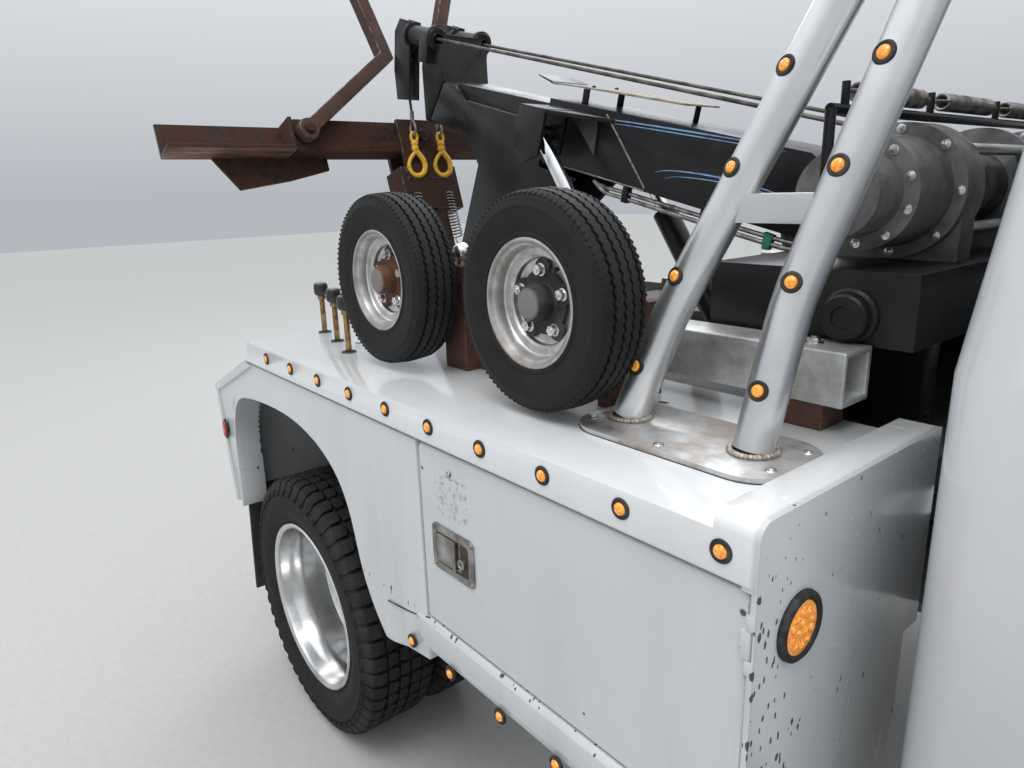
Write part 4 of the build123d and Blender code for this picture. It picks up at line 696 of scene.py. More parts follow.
# Leaf springs: five flat leaves a side at each axle, rolled spring steel in chassis black, clamped by
# U-bolts. Their end eyes hang from plates on the frame; one side is built and turned over to the other.
SPRING_Y = 0.478
springs = []
for x, seat, half, rise in ((0.0, 0.4603, 0.5, 0.23), (FRONT_AXLE, 0.3503, 0.56, 0.27)):
    for leaf in range(5):
        reach = half * (1.0 - 0.17 * leaf)
        drop = 0.05 - leaf * 0.0105
        upper = []
        lower = []
        for step in range(-6, 7):
            run = reach * step / 6.0
            bow = (rise - 0.052) * (abs(run) / half) ** 1.7
            upper.append(at(x + run, SPRING_Y - 0.032, seat + drop + bow + 0.01))
            lower.append(at(x + run, SPRING_Y - 0.032, seat + drop + bow))
        springs.append(cut_plate("leaf", upper + lower[::-1], ACROSS * 0.064))
    for end in (-1.0, 1.0):
        eye_x = x + end * half
        springs.append(rod("eye", at(eye_x, 0.4435, seat + rise), at(eye_x, 0.5125, seat + rise), 0.0235, 24,
            0.002))
        hanger = side_plate("hanger", eye_x - 0.019, eye_x + 0.019, 0.4325, seat + rise - 0.018, 0.879, 0.018)
        springs.append(eased(hanger, 0.002))
        for edge in (-0.037, 0.037):
            clamp_x = x + end * 0.045
            springs.append(rod("clamp", at(clamp_x, SPRING_Y + edge, seat - 0.02), at(clamp_x, SPRING_Y + edge,
                seat + 0.075), 0.007, 12))
            springs.append(nut("clamp_nut", at(clamp_x, SPRING_Y + edge, seat + 0.062), UP, 0.012, 0.012))
    springs.append(rod("clamp_plate", at(x - 0.062, SPRING_Y, seat + 0.055),
        at(x + 0.062, SPRING_Y, seat + 0.055), 0.03, 4, 0.002))
springs = kept(springs, "leaf_springs_left", chassis_black, "chassis")
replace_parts(springs, "leaf_springs")
twin_of(springs, "leaf_springs_right", "chassis", flip=True)


# Engine, gearbox and drive shaft: one cast-iron mass, greasy and dusty, with a bolted sump flange. The
# aluminium fuel tank is strapped beside the frame by two bent steel bands and has a turned filler cap.
cast_grey = Finish("engine_casting", "cast_iron", (0.16, 0.165, 0.17), 0.62, 0.35).weather((7.0, 6.0, EVEN,
    0.65), (0.4, 0.68), (0.2, 0.205, 0.21), (0.055, 0.045, 0.036), (0.5, 0.3), ((190.0, 4.0), 0.4, 0.0012))
shaped("engine", cast_grey, 0.012, None, 3)
sump = [nut("sump_bolt", at(3.3 + 0.0845 * step, 0.2905, 0.66), ACROSS, 0.009, 0.01) for step in range(10)]
pair(sump, "sump_bolts", cast_grey, "chassis")

tank_skin = Finish("tank_skin", "tank_metal", (0.62, 0.63, 0.64), 0.34,
    1.0).weather((6.0, 5.0, (1.0, 1.0, 0.12), 0.6), (0.45, 0.7), (0.68, 0.69, 0.7), (0.26, 0.23, 0.2),
    (0.26, 0.3), ((90.0, 3.0, (0.05, 1.0, 1.0)), 0.15, 0.0005))
shaped("fuel_tank", tank_skin, 0.004)
for number, x in enumerate((1.76, 2.28)):
    band = [at(x, y, z) for y, z in ((0.4335, 0.566), (0.47, 0.5585), (0.74, 0.5585), (0.7705, 0.57),
        (0.7815, 0.6), (0.7815, 0.84), (0.7705, 0.87), (0.74, 0.8815), (0.47, 0.8815), (0.4335, 0.874))]
    strap = drawn("strap", band, closed=False)
    edit_all(strap)
    bpy.ops.mesh.extrude_region_move(TRANSFORM_OT_translate={"value": (0.045, 0.0, 0.0)})
    mode("OBJECT")
    changed(strap, "SOLIDIFY", thickness=0.003, offset=0.0)
    kept(strap, f"tank_strap_{number}", chassis_black, "chassis", 60.0)
filler = spun("filler", ((0.0, 0.876), (0.046, 0.876), (0.046, 0.884), (0.04, 0.886), (0.04, 0.897),
    (0.037, 0.9), (0.0, 0.9)), at(2.02, 0.66, 0.0), UP, 40)
kept(filler, "tank_filler_cap", tank_skin, "chassis")


# Cab: pressed steel panels in gloss white over a hollow shell, with rubber round the glass, drip rails, roof
# marker lamps, handles and wipers. Rain streaks and dust dull the lower half.
CAB_SIDE = 1.0


def gloss_white(name, slot="white_paint", low=0.5, grime=0.5, scuffs=0.5, chips=None, painted_highlight=None):
    """White gelcoat or paint: uneven gloss, faint dust runs, scuffs, and chips down to a dark undercoat."""
    white = Finish(name, slot, (0.56, 0.58, 0.595), 0.24, Coat_Weight=0.5, Coat_Roughness=0.06)
    broad = white.noise(1.6, 4.0, rough=0.55)
    run = white.noise(9.0, 5.0, (1.0, 1.0, 0.1), 0.6)
    height = white.along(2)
    lower = white.ramp(height, low + 0.5, low - 0.1)
    dirt = white.ramp(run, 0.46, 0.7) * (0.25 + 0.75 * lower) * grime
    rub = white.noise(70.0, 4.0, (0.14, 1.0, 1.0), 0.7)
    scuff = white.ramp(rub, 0.6, 0.72) * white.ramp(broad, 0.48, 0.62) * scuffs
    base = white.mix(white.ramp(broad, 0.35, 0.7), (0.58, 0.6, 0.615), (0.52, 0.545, 0.565))
    # Where a highlight mask is given, that part is painted a paler white as a painted highlight.
    if painted_highlight:
        base = white.mix(painted_highlight(white), base, (0.74, 0.76, 0.775))
    base = white.mix(dirt * 0.45, base, (0.34, 0.31, 0.27))
    base = white.mix(scuff * 0.4, base, (0.36, 0.36, 0.36))
    fleck = white.ramp(white.spots(120.0), 0.1, 0.03) * white.ramp(white.noise(16.0, 3.0), 0.62, 0.7) * scuffs
    base = white.mix(fleck, base, (0.1, 0.09, 0.085))
    if chips:
        chip = chips(white)
        base = white.mix(chip, base, (0.045, 0.045, 0.05))
        fleck = fleck + chip
    white.coat(base, 0.2 + 0.22 * dirt + 0.3 * scuff + 0.25 * fleck,
        (white.noise(2.6, 3.0) * 0.9 + white.noise(240.0, 2.0) * 0.05 - fleck * 0.25, 0.1, 0.004))
    return white


cab_white = gloss_white("cab_white", low=0.7, grime=0.55, scuffs=0.25)
door_white = gloss_white("cab_door_white", low=0.7, grime=0.5, scuffs=0.3)
seal_black = Finish("seal_rubber", "black_plastic", (0.018, 0.018, 0.019), 0.66).weather((30.0, 5.0),
    (0.4, 0.72), (0.014, 0.014, 0.015), (0.045, 0.044, 0.042), (0.55, 0.3), ((300.0, 2.0), 0.2, 0.0006))


def bent(name, points, radius, smooth=True, closed=False):
    """A round bar or tube bent along a smooth line near the points."""
    piece = drawn(name, points, closed, "NURBS" if smooth else "POLY", bevel_depth=radius, bevel_resolution=3,
        resolution_u=6, use_fill_caps=True)
    edit_all(piece)
    face_out()
    return piece


shaped("cab_shell", cab_white, 0.006, None, 2, 24.0, 28.0)
mirror_black = Finish("mirror_plastic", "black_plastic", (0.02, 0.02, 0.022), 0.45)
mirror_black.coat(None, 0.38 + 0.25 * mirror_black.noise(50.0, 4.0), (mirror_black.noise(420.0, 2.0), 0.25,
    0.0006))
mirror_glass = Finish("mirror_glass", "bright_chrome", (0.75, 0.77, 0.8), 0.03, 1.0)
mirror_glass.put("Roughness", 0.02 + 0.1 * mirror_glass.ramp(mirror_glass.noise(20.0, 5.0), 0.45, 0.8))


def coated_where(piece, wanted, finish):
    """Give a second finish to the faces whose middle passes the test."""
    piece.data.materials.append(finish.material)
    number = len(piece.data.materials) - 1
    for face in piece.data.polygons:
        if wanted(face.center):
            face.material_index = number


for side, sign in (("left", 1.0), ("right", -1.0)):
    door = shaped("cab_door_" + side, door_white, 0.004, None, 2, 24.0, 28.0)
    coated_where(door, lambda c: abs(c.y) > 1.013, mirror_black)
    body = "cab_door_" + side
    glass = end_plate("mirror_glass", 2.8885, sign * 1.08, sign * 1.244, 1.42, 1.77, -0.003)
    kept(eased(glass, 0.0012), "mirror_glass_" + side, mirror_glass, body)
    plate = side_plate("handle_plate", 2.06, 2.24, sign * 1.0, 1.235, 1.305, sign * 0.006)
    pull = bent("handle_pull", [at(2.085, sign * 1.004, 1.27), at(2.085, sign * 1.03, 1.27),
        at(2.12, sign * 1.034, 1.27), at(2.18, sign * 1.034, 1.27), at(2.215, sign * 1.03, 1.27),
        at(2.215, sign * 1.004, 1.27)], 0.009)
    kept([eased(plate, 0.004, 2), pull], "door_handle_" + side, mirror_black, body)
    strip = side_plate("rub_strip", 1.975, 2.97, sign * 0.9985, 0.985, 1.035, sign * 0.011)
    kept(eased(strip, 0.005, 2), "door_rub_strip_" + side, mirror_black, body)


def on_side(x, z, proud=0.0):
    """A point on the left side of the cab, which leans in above the belt line."""
    lean = max(0.0, z - 1.38) * 0.185 / 0.59
    return at(x, CAB_SIDE - lean + proud, z)


window_seals = {"door_glass": [(2.038, 1.408), (2.038, 1.857), (2.468, 1.857), (2.852, 1.418), (2.852, 1.408)],
    "quarter_glass": [(1.713, 1.423), (1.733, 1.857), (1.897, 1.857), (1.897, 1.423)]}
for name, corners in window_seals.items():
    body = "cab_door_left" if name == "door_glass" else "chassis"
    seal = bent(name + "_seal", [on_side(x, z, -0.003) for x, z in corners], 0.0085, False, True)
    seal = kept(seal, name + "_seal_left", seal_black, body, 50.0)
    twin_of(seal, name + "_seal_right", body.replace("left", "right"), flip=True)
gutter = bent("gutter", [at(1.655, 0.803, 1.905), at(1.685, 0.829, 1.962), at(2.1, 0.829, 1.962),
    at(2.56, 0.829, 1.958), at(2.66, 0.855, 1.875), at(3.05, 0.95, 1.5)], 0.008)
pair(gutter, "roof_gutter", cab_white, "chassis", 50.0)
rear_seal = bent("back_window_seal", [at(1.607, -0.598, 1.442), at(1.6175, -0.558, 1.878),
    at(1.6175, 0.558, 1.878), at(1.607, 0.598, 1.442)], 0.011, False, True)
kept(rear_seal, "back_window_seal", seal_black, "chassis", 50.0)
screen_seal = bent("windscreen_seal", [at(2.676, -0.69, 1.938), at(2.676, 0.69, 1.938), at(3.118, 0.855, 1.488),
    at(3.118, -0.855, 1.488)], 0.012, False, True)
kept(screen_seal, "windscreen_seal", seal_black, "chassis", 50.0)

pane_glass = Finish("pane_glass", "clear_glass", (0.8, 0.86, 0.85), 0.03, Transmission_Weight=1.0, IOR=1.45)
film = pane_glass.noise(5.0, 6.0, rough=0.6)
pane_glass.coat(pane_glass.mix(pane_glass.ramp(film, 0.5, 0.8) * 0.35, (0.8, 0.87, 0.86), (0.62, 0.62, 0.58)),
    0.01 + 0.09 * pane_glass.ramp(film, 0.45, 0.75))
for node in ("cab_glass", "door_glass_left", "door_glass_right"):
    shaped(node, pane_glass, 0.0)
wipers = []
for y in (-0.52, 0.16):
    wipers.append(bent("wiper_arm", [at(3.165, y, 1.455), at(3.135, y + 0.02, 1.5), at(3.05, y + 0.16, 1.6),
        at(2.985, y + 0.3, 1.668)], 0.006))
    wipers.append(bent("wiper_blade", [at(3.085, y - 0.02, 1.556), at(3.03, y + 0.16, 1.618),
        at(2.955, y + 0.44, 1.7)], 0.008))
kept(wipers, "windscreen_wipers", seal_black, "chassis", 50.0)

amber_lens = Finish("amber_lens", "clear_glass", (0.95, 0.42, 0.05), 0.12, Coat_Weight=0.6).weather((60.0, 2.0),
    (0.35, 0.7), (0.95, 0.5, 0.07), (0.8, 0.27, 0.03), None, ((260.0, 2.0), 0.3, 0.0008))
MARKER_DOME = ((0.0, 2.022), (0.03, 2.022), (0.028, 2.04), (0.02, 2.05), (0.0, 2.053))
roof_lamps = [spun("dome", MARKER_DOME, at(2.47, y, 0.0), UP, 24) for y in (-0.52, -0.17, 0.0, 0.17, 0.52)]
kept(roof_lamps, "roof_marker_lamps", amber_lens, "chassis")


# Body sides: moulded white gelcoat panels over the rear wheels, each with a band of small marker lamps along
# its top, a flared wheel arch with a dirty well behind it, and stone chips on the wall that faces the cab.
BODY_SIDE = 1.2
BAND_LAMP_Z = 1.173


def outside_of(finish):
    return finish.node("ShaderNodeMath", {"operation": "ABSOLUTE"}, {0: finish.along(1)})


def road_chips(white):
    """Stone chips: dense near the front wall's outer edge, a few on the flare, the sill and the door's edge."""
    x = white.along(0)
    z = white.along(2)
    outer = white.ramp(outside_of(white), 1.03, 1.19)
    lower = 0.3 + 0.7 * white.ramp(z, 1.2, 0.78)
    patch = white.ramp(white.noise(14.0, 3.0), 0.33, 0.56)
    wall = (x > 1.4925 + REAR_AXLE) * outer * lower * patch
    edge = white.ramp(x, 1.462 + REAR_AXLE, 1.496 + REAR_AXLE) * white.ramp(white.noise(30.0, 2.0), 0.56, 0.68)
    flare = white.ramp(x, 0.4 + REAR_AXLE, 0.62 + REAR_AXLE) * white.ramp(x, 0.74 + REAR_AXLE,
        0.66 + REAR_AXLE) * lower
    flare = flare * white.ramp(white.noise(20.0, 2.0), 0.58, 0.7)
    sill = white.ramp(z, 0.705, 0.722) * white.ramp(z, 0.738, 0.73) * white.ramp(white.noise(26.0, 3.0), 0.42,
        0.6)
    amount = wall * 0.52 + edge * 0.26 + flare * 0.2 + sill * 0.34
    return white.spots(92.0, (1.0, 1.0, 0.42)) < amount


def rail_highlight_band(white):
    """Painted highlight: the rail along the top and the faces above it are painted paler than the side under it,
    back from the front wall, for the light they catch as they face up.
    """
    return white.ramp(white.along(2), 1.138, 1.142) * white.ramp(white.along(0), 1.494 + REAR_AXLE,
        1.488 + REAR_AXLE)


# The body's rail band and tops are painted paler as a painted highlight.
body_white = gloss_white("body_white", low=0.62, grime=0.8, scuffs=0.6, chips=road_chips, painted_highlight=rail_highlight_band)
well_dirt = Finish("wheel_well_dirt", "white_paint", (0.1, 0.085, 0.07), 0.9)
caked = well_dirt.noise(7.0, 6.0, rough=0.7)
well_dirt.coat(well_dirt.mix(well_dirt.ramp(caked, 0.35, 0.7), (0.045, 0.036, 0.03), (0.16, 0.13, 0.105)),
    0.8 + 0.15 * caked, (caked + well_dirt.noise(60.0, 4.0) * 0.4, 0.6, 0.006))


def in_the_well(c):
    x = c.x - REAR_AXLE
    on_slope = x < -0.19 and c.z > 1.136 - (-0.204 - x) * 0.415
    on_tail = x < -0.53 + max(0.0, 1.0 - c.z) * 0.16
    return abs(c.y) < 1.128 and -0.57 < x < 0.665 and c.z < 1.1375 and not on_slope and not on_tail


for side in ("left", "right"):
    coated_where(shaped("body_side_" + side, body_white, 0.005, None, 2, 28.0, 30.0), in_the_well, well_dirt)

lamp_rubber = Finish("lamp_rubber", "black_plastic", (0.012, 0.012, 0.013), 0.6).weather((55.0, 4.0),
    (0.45, 0.75), (0.01, 0.01, 0.011), (0.05, 0.05, 0.048), (0.5, 0.3), ((380.0, 2.0), 0.2, 0.0005))
lamp_amber = Finish("lamp_amber", "clear_glass", (0.95, 0.38, 0.03), 0.1, Coat_Weight=0.8, Coat_Roughness=0.04)
cell = lamp_amber.spots(230.0)
lamp_amber.put("Base Color", lamp_amber.mix(lamp_amber.ramp(cell, 0.15, 0.75), (1.0, 0.52, 0.06),
    (0.78, 0.2, 0.02)))
lamp_amber.put("Emission Color", lamp_amber.mix(cell, (1.0, 0.45, 0.05), (0.9, 0.25, 0.02)))
lamp_amber.shader.inputs["Emission Strength"].default_value = 0.22
lamp_amber.put("Normal", lamp_amber.bump(cell, 0.25, 0.0008))
lamp_red = Finish("lamp_red", "clear_glass", (0.55, 0.012, 0.012), 0.1, Coat_Weight=0.8, Coat_Roughness=0.04)
cell = lamp_red.spots(230.0)
lamp_red.coat(lamp_red.mix(lamp_red.ramp(cell, 0.15, 0.75), (0.75, 0.03, 0.02), (0.3, 0.006, 0.006)), None,
    (cell, 0.25, 0.0008))


def little_lamp(spot, way):
    """A bullet marker lamp: a domed lens pushed into a rolled rubber grommet."""
    foot = Vector(spot)
    way = Vector(way).normalized()
    ring = [(0.0092, -0.002), (0.0158, -0.002), (0.0164, 0.0012), (0.0154, 0.0032), (0.013, 0.004),
        (0.0108, 0.0034), (0.0094, 0.001)]
    dome = [(0.0, -0.001), (0.0098, -0.001), (0.0098, 0.003), (0.009, 0.005), (0.0066, 0.0068),
        (0.0034, 0.0078), (0.0, 0.0081)]
    return spun("grommet", ring, foot, way, 28), spun("lens", dome, foot, way, 24)


rubbers = []
lenses = []
places = [(-0.038 + 0.1651 * number, BAND_LAMP_Z) for number in range(10)]
places += [(0.664, 0.637), (0.815, 0.637), (0.982, 0.637), (1.14, 0.637)]
for x, z in places:
    ring, dome = little_lamp(at(x, BODY_SIDE, z), ACROSS)
    rubbers.append(ring)
    lenses.append(dome)
front_lamp = at(1.5003, 1.098, 1.05)
rubbers.append(spun("grommet", ((0.036, -0.003), (0.0485, -0.003), (0.0505, 0.002), (0.0495, 0.007),
    (0.0455, 0.01), (0.0405, 0.0095), (0.037, 0.005)), front_lamp, FORWARD, 48))
rubbers = kept(rubbers, "body_lamp_grommets_left", lamp_rubber, "chassis", 45.0)
lenses = kept(lenses, "body_lamp_lenses_left", lamp_amber, "chassis", 45.0)


# The four-inch amber lamp on the front wall is a clear amber moulding, set a little off centre in its rubber
# ring. Its face is stepped inward and carries ten six-sided facets in a ring round three more.
lens = rod("big_lens", front_lamp + Vector((-0.002, 0.003, 0.0)), front_lamp + Vector((0.0072, 0.003, 0.0)),
    0.0385, 48, 0.0)
edit_all(lens)
bpy.ops.mesh.select_all(action="DESELECT")
bpy.ops.mesh.select_mode(type="FACE")
mode("OBJECT")
for face in lens.data.polygons:
    face.select = face.normal.x > 0.9
mode("EDIT")
bpy.ops.mesh.inset(thickness=0.004, depth=0.0012)
bpy.ops.mesh.inset(thickness=0.018, depth=0.001)
mode("OBJECT")
hub_line = front_lamp + ACROSS * 0.003
facets = ringed(nut("facet", front_lamp + Vector((0.007, 0.003, 0.024)), FORWARD, 0.0072, 0.003), 10, hub_line,
    FORWARD)
middle = ringed(nut("facet", front_lamp + Vector((0.0074, 0.003, 0.0085)), FORWARD, 0.0066, 0.003), 3, hub_line,
    FORWARD)
lens = kept([lens, facets, middle], "body_front_lamp_left", lamp_amber, "chassis", 28.0)


def oval(spot, half_wide, half_high, grow, sides=28):
    """Points of an upright oval on the body side, grown outward by grow."""
    turns = [math.tau * step / sides for step in range(sides)]
    return [spot + Vector(((half_wide + grow) * math.cos(turned), 0.0,
        (half_high + grow) * math.sin(turned))) for turned in turns]


tail = at(-0.4985, BODY_SIDE, 0.856)
cup = eased(cut_plate("cup", oval(tail, 0.016, 0.03, 0.005), ACROSS * 0.006), 0.003, 3)
tail_rubber = kept(cup, "tail_lamp_grommet_left", lamp_rubber, "chassis", 45.0)
dome = eased(cut_plate("dome", oval(tail, 0.016, 0.03, -0.001), ACROSS * 0.011), 0.005, 4)
tail_lens = kept(dome, "tail_lamp_lens_left", lamp_red, "chassis", 45.0)


# The panel joint is a fine dark line of sealant under the tool door's rear corner, down to the wheel arch. It
# is a thin rubber bead laid along the body side's face.
joint = bent("panel_joint", [at(0.735, 1.1937, 0.728), at(0.69, 1.1939, 0.712), at(0.64, 1.1945, 0.7),
    at(0.56, 1.1985, 0.69)], 0.0016)
joint = kept(joint, "panel_joint_left", seal_black, "chassis", 60.0)
mirrored((rubbers, lenses, lens, tail_rubber, tail_lens, joint), "chassis")


# Tool doors: flush moulded doors with rounded edges and a stainless paddle latch each. On the right one the
# glue of a missing sticker has left a grey patch over the latch and a short hooked scratch beside it.
DOOR_FACE = 1.192
LATCH_X = 0.84
LATCH_Z = 0.92


def glue_and_scratch(white):
    """Marks on the right door only: the glue patch, the scratch and the rust-edged chips at its front edge."""
    x = white.along(0)
    y = white.along(1)
    z = white.along(2)
    grain = white.noise(85.0, 5.0, rough=0.7)
    patch = white.between(x, 0.783 + REAR_AXLE, 0.897 + REAR_AXLE, 0.006)
    patch = patch * white.between(z, 0.989, 1.086, 0.006) * white.ramp(grain, 0.46, 0.62)
    hook = white.near(at(0.8385, -DOOR_FACE, 1.086), 0.014) * white.ramp(white.noise(120.0, 2.0), 0.44, 0.52)
    small = white.near(at(0.742, -DOOR_FACE, 1.074), 0.006) + white.near(at(1.478, -DOOR_FACE, 1.098), 0.007)
    small = small + white.near(at(1.479, -DOOR_FACE, 1.048), 0.005) + white.near(at(1.2, -DOOR_FACE, 0.775),
        0.004)
    return white.ramp(patch * 0.3 + hook + small, 0.12, 0.5) * (y < 0.0)


panel_white = gloss_white("tool_door_white", "polished_aluminium", low=0.55, grime=0.6, scuffs=0.8,
    chips=glue_and_scratch)
latch_steel = Finish("latch_steel", "polished_aluminium", (0.6, 0.6, 0.6), 0.28, 1.0)
brush = latch_steel.noise(55.0, 4.0, (1.0, 1.0, 14.0), 0.6)
blot = latch_steel.noise(24.0, 5.0)
latch_steel.coat(latch_steel.mix(latch_steel.ramp(blot, 0.35, 0.62), (0.46, 0.455, 0.45), (0.21, 0.19, 0.17)),
    0.22 + 0.22 * brush + 0.15 * blot, (brush, 0.12, 0.0006))
# Dark finish for the latch recess and key slot: painted shade in the latch's pocket and in the lock's slot, with
# a little grime.
latch_shade = Finish("latch_recess", "black_plastic", (0.02, 0.02, 0.02), 0.7)
latch_shade.coat(latch_shade.mix(latch_shade.noise(25.0, 5.0), (0.012, 0.012, 0.012), (0.07, 0.06, 0.05)),
    0.5 + 0.4 * latch_shade.noise(40.0, 4.0))


def round_box(name, centre_x, centre_z, wide, high, corner, low, high_y):
    """A plate on the tool door with rounded corners, between two depths."""
    corners = []
    for sx, sz, start in ((1, 1, 0), (-1, 1, 90), (-1, -1, 180), (1, -1, 270)):
        for step in range(5):
            turned = math.radians(start + 22.5 * step)
            corners.append(at(centre_x + sx * (wide / 2 - corner) + corner * math.cos(turned), low,
                centre_z + sz * (high / 2 - corner) + corner * math.sin(turned)))
    return cut_plate(name, corners, ACROSS * (high_y - low))


for side in ("left", "right"):
    shaped("tool_door_" + side, panel_white, 0.003, None, 2, 28.0, 30.0)
frame_plate = eased(round_box("frame", LATCH_X, LATCH_Z, 0.14, 0.1, 0.014, DOOR_FACE - 0.001,
    DOOR_FACE + 0.004), 0.0016, 2)
hollow = round_box("hollow", LATCH_X, LATCH_Z, 0.108, 0.068, 0.008, DOOR_FACE + 0.0012, DOOR_FACE + 0.02)
drilled(frame_plate, hollow)
paddle = eased(round_box("paddle", 0.82, LATCH_Z, 0.062, 0.062, 0.004, DOOR_FACE + 0.0005, DOOR_FACE + 0.0055),
    0.0012, 2)
fold = rod("fold", at(0.85, DOOR_FACE + 0.006, 0.89), at(0.85, DOOR_FACE + 0.006, 0.95), 0.0036, 12, 0.0004)
barrel_lock = spun("key_barrel", ((0.0, 0.0), (0.0105, 0.0), (0.0105, 0.0075), (0.0095, 0.0085),
    (0.007, 0.0085), (0.0066, 0.0075), (0.0, 0.0075)), at(0.874, DOOR_FACE + 0.001, 0.914), ACROSS, 32)
RIVET = ((0.0, 0.0), (0.0046, 0.0), (0.0042, 0.0014), (0.0026, 0.0024), (0.0, 0.0027))
rivets = [spun("rivet", RIVET, at(x, DOOR_FACE + 0.004, z), ACROSS, 16) for x,
    z in ((0.778, 0.961), (0.902, 0.961), (0.902, 0.879), (0.778, 0.879))]
latch = kept([frame_plate, paddle, fold, barrel_lock, *rivets], "tool_latch_left", latch_steel,
    "tool_door_left", 30.0)
# The dark plate beside the paddle and the thin dark strip in the lock are painted shade for the pocket and the
# key slot.
recess = kept(round_box("recess", 0.8795, LATCH_Z, 0.03, 0.066, 0.004, DOOR_FACE + 0.0003, DOOR_FACE + 0.0016),
    "tool_latch_recess_left", latch_shade, "tool_door_left")
slot_hole = kept(side_plate("key_slot", 0.8732, 0.8748, DOOR_FACE + 0.009, 0.909, 0.919, 0.0004),
    "tool_key_slot_left", latch_shade, "tool_door_left")
mirrored((latch, recess, slot_hole), "tool_door_right")


# Mud flaps: black rubber sheets behind the rear wheels, with dust lying in long streaks. Each is hung from a
# rusty steel strip held by four bolts.
flap_rubber = Finish("flap_rubber", "black_plastic", (0.02, 0.02, 0.021),
    0.75).weather((9.0, 6.0, (1.0, 1.0, 0.3), 0.65), (0.42, 0.7), (0.016, 0.016, 0.017), (0.075, 0.067, 0.058),
    (0.6, 0.3), ((200.0, 3.0), 0.25, 0.001))
shaped("mud_flaps", flap_rubber, 0.002)
rust_strip = painted_steel("flap_strip", "chassis_steel", (0.06, 0.04, 0.03), (0.16, 0.07, 0.03), 0.75, 0.42)
strip = eased(end_plate("strip", -0.4555, 0.8, 1.17, 0.596, 0.636, -0.005), 0.0012)
bolts = [nut("strip_bolt", at(-0.456, y, 0.616), FORWARD, 0.0085, 0.008, 0.012) for y in (0.84, 0.94, 1.03,
    1.13)]
pair([strip, *bolts], "flap_strip", rust_strip, "chassis")


# Deck between the body sides: a pressed black steel tray with rounded folds. Gear dragged over it has rubbed
# its edges to bare metal.
gear_black = painted_steel("gear_black", "black_paint", (0.012, 0.012, 0.014), (0.1, 0.085, 0.075), 0.26, 0.74,
    dusty=0.1)
gear_black.shine(LOW_SHINE)
gear_edge = bare_edge("gear_edge", "black_paint", (0.2, 0.19, 0.18), 0.42, 0.8)
deck_black = painted_steel("deck_black", "black_paint", (0.018, 0.018, 0.018), (0.1, 0.055, 0.035), 0.48, 0.6,
    dusty=0.3)
shaped("deck", deck_black, 0.002, gear_edge)


# Control levers: three bronze rods on the right body side with turned black plastic knobs, their tops painted
# pale as wear and a painted highlight.
# Each passes through a rubber lip; the drain slots beside them are thin black plates on the deck, painted shade
# where the slots open.
lever_bronze = Finish("lever_bronze", "bright_chrome", (0.34, 0.21, 0.09), 0.38, 0.9).weather((45.0, 4.0),
    (0.4, 0.7), (0.42, 0.27, 0.12), (0.13, 0.085, 0.05), (0.28, 0.3), (None, 0.15, 0.0005))
knob_black = Finish("knob_plastic", "black_plastic", (0.02, 0.02, 0.021), 0.35)
# The knobs' tops are painted pale: wear, and a painted highlight where they face up into the light.
worn_and_lit_top = knob_black.ramp(knob_black.along(2), 1.349, 1.3535) * knob_black.ramp(knob_black.noise(60.0, 4.0),
    0.3, 0.6)
knob_black.coat(knob_black.mix(worn_and_lit_top, (0.018, 0.018, 0.019), (0.24, 0.235, 0.225)), 0.32 + 0.3 * worn_and_lit_top)
rods = []
knobs = []
rims = []
for x, y in ((-0.152, -0.969), (0.008, -1.005), (0.169, -1.05)):
    rods.append(rod("lever", at(x, y, 1.18), at(x, y, 1.32), 0.0078, 20))
    rods.append(rod("lever_collar", at(x, y, 1.302), at(x, y, 1.314), 0.012, 20))
    outline = ((0.0, 1.3135), (0.013, 1.3135), (0.0185, 1.317), (0.0208, 1.323), (0.021, 1.34),
        (0.0196, 1.3475), (0.0168, 1.352), (0.015, 1.3528), (0.0, 1.353))
    knobs.append(spun("knob", outline, at(x, y, 0.0), UP, 32))
    hole = ((0.0085, 1.1985), (0.019, 1.1985), (0.02, 1.2006), (0.0185, 1.2028), (0.015, 1.2036), (0.01, 1.202))
    rims.append(spun("boot", hole, at(x, y, 0.0), UP, 32))
rods = kept(rods, "control_lever_rods", lever_bronze, "chassis")
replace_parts(rods, "control_levers")
kept(knobs, "control_lever_knobs", knob_black, "chassis", 30.0)
kept(rims, "control_lever_boots", seal_black, "chassis", 40.0)
# Drain slots: thin black plates laid on the deck, painted shade standing for the open slots.
slots = []
for x, y, turned in ((1.054, -0.827, 0.5), (1.126, -0.8455, 0.35), (0.08, -0.978, 0.2)):
    way = Vector((math.cos(turned), math.sin(turned), 0.0)) * 0.011
    wide = Vector((-math.sin(turned), math.cos(turned), 0.0)) * 0.0042
    spot = at(x, y, 1.2001)
    slots.append(cut_plate("slot", [spot - way - wide * 0.5, spot - way * 0.5 - wide, spot + way * 0.6 - wide,
        spot + way, spot + way * 0.5 + wide, spot - way * 0.7 + wide], UP * 0.0006))
kept(slots, "deck_drain_slots", seal_black, "chassis")


# Pylon: bent round tubes in brushed aluminium, welded to thick round-ended plates and to a flat crosspiece,
# with a row of bullet lamps up each front face. The welds are left as laid: stepped, cream-grey beads.
satin = Finish("pylon_satin", "polished_aluminium", (0.7, 0.71, 0.72), 0.28, 0.95)
brushed = satin.noise(60.0, 4.0, (3.0, 3.0, 0.25), 0.6)
cloud = satin.noise(4.0, 5.0, rough=0.6)
stain = satin.ramp(satin.noise(11.0, 6.0, rough=0.65), 0.36, 0.6) * satin.ramp(satin.along(2), 1.235, 1.205)
base = satin.mix(satin.ramp(cloud, 0.35, 0.7), (0.8, 0.81, 0.82), (0.62, 0.63, 0.64))
satin.coat(satin.mix(stain * 0.8, base, (0.24, 0.175, 0.12)), 0.19 + 0.14 * brushed + 0.14 * cloud + 0.3
    * stain)
satin.put("Metallic", 0.95 - 0.6 * stain)
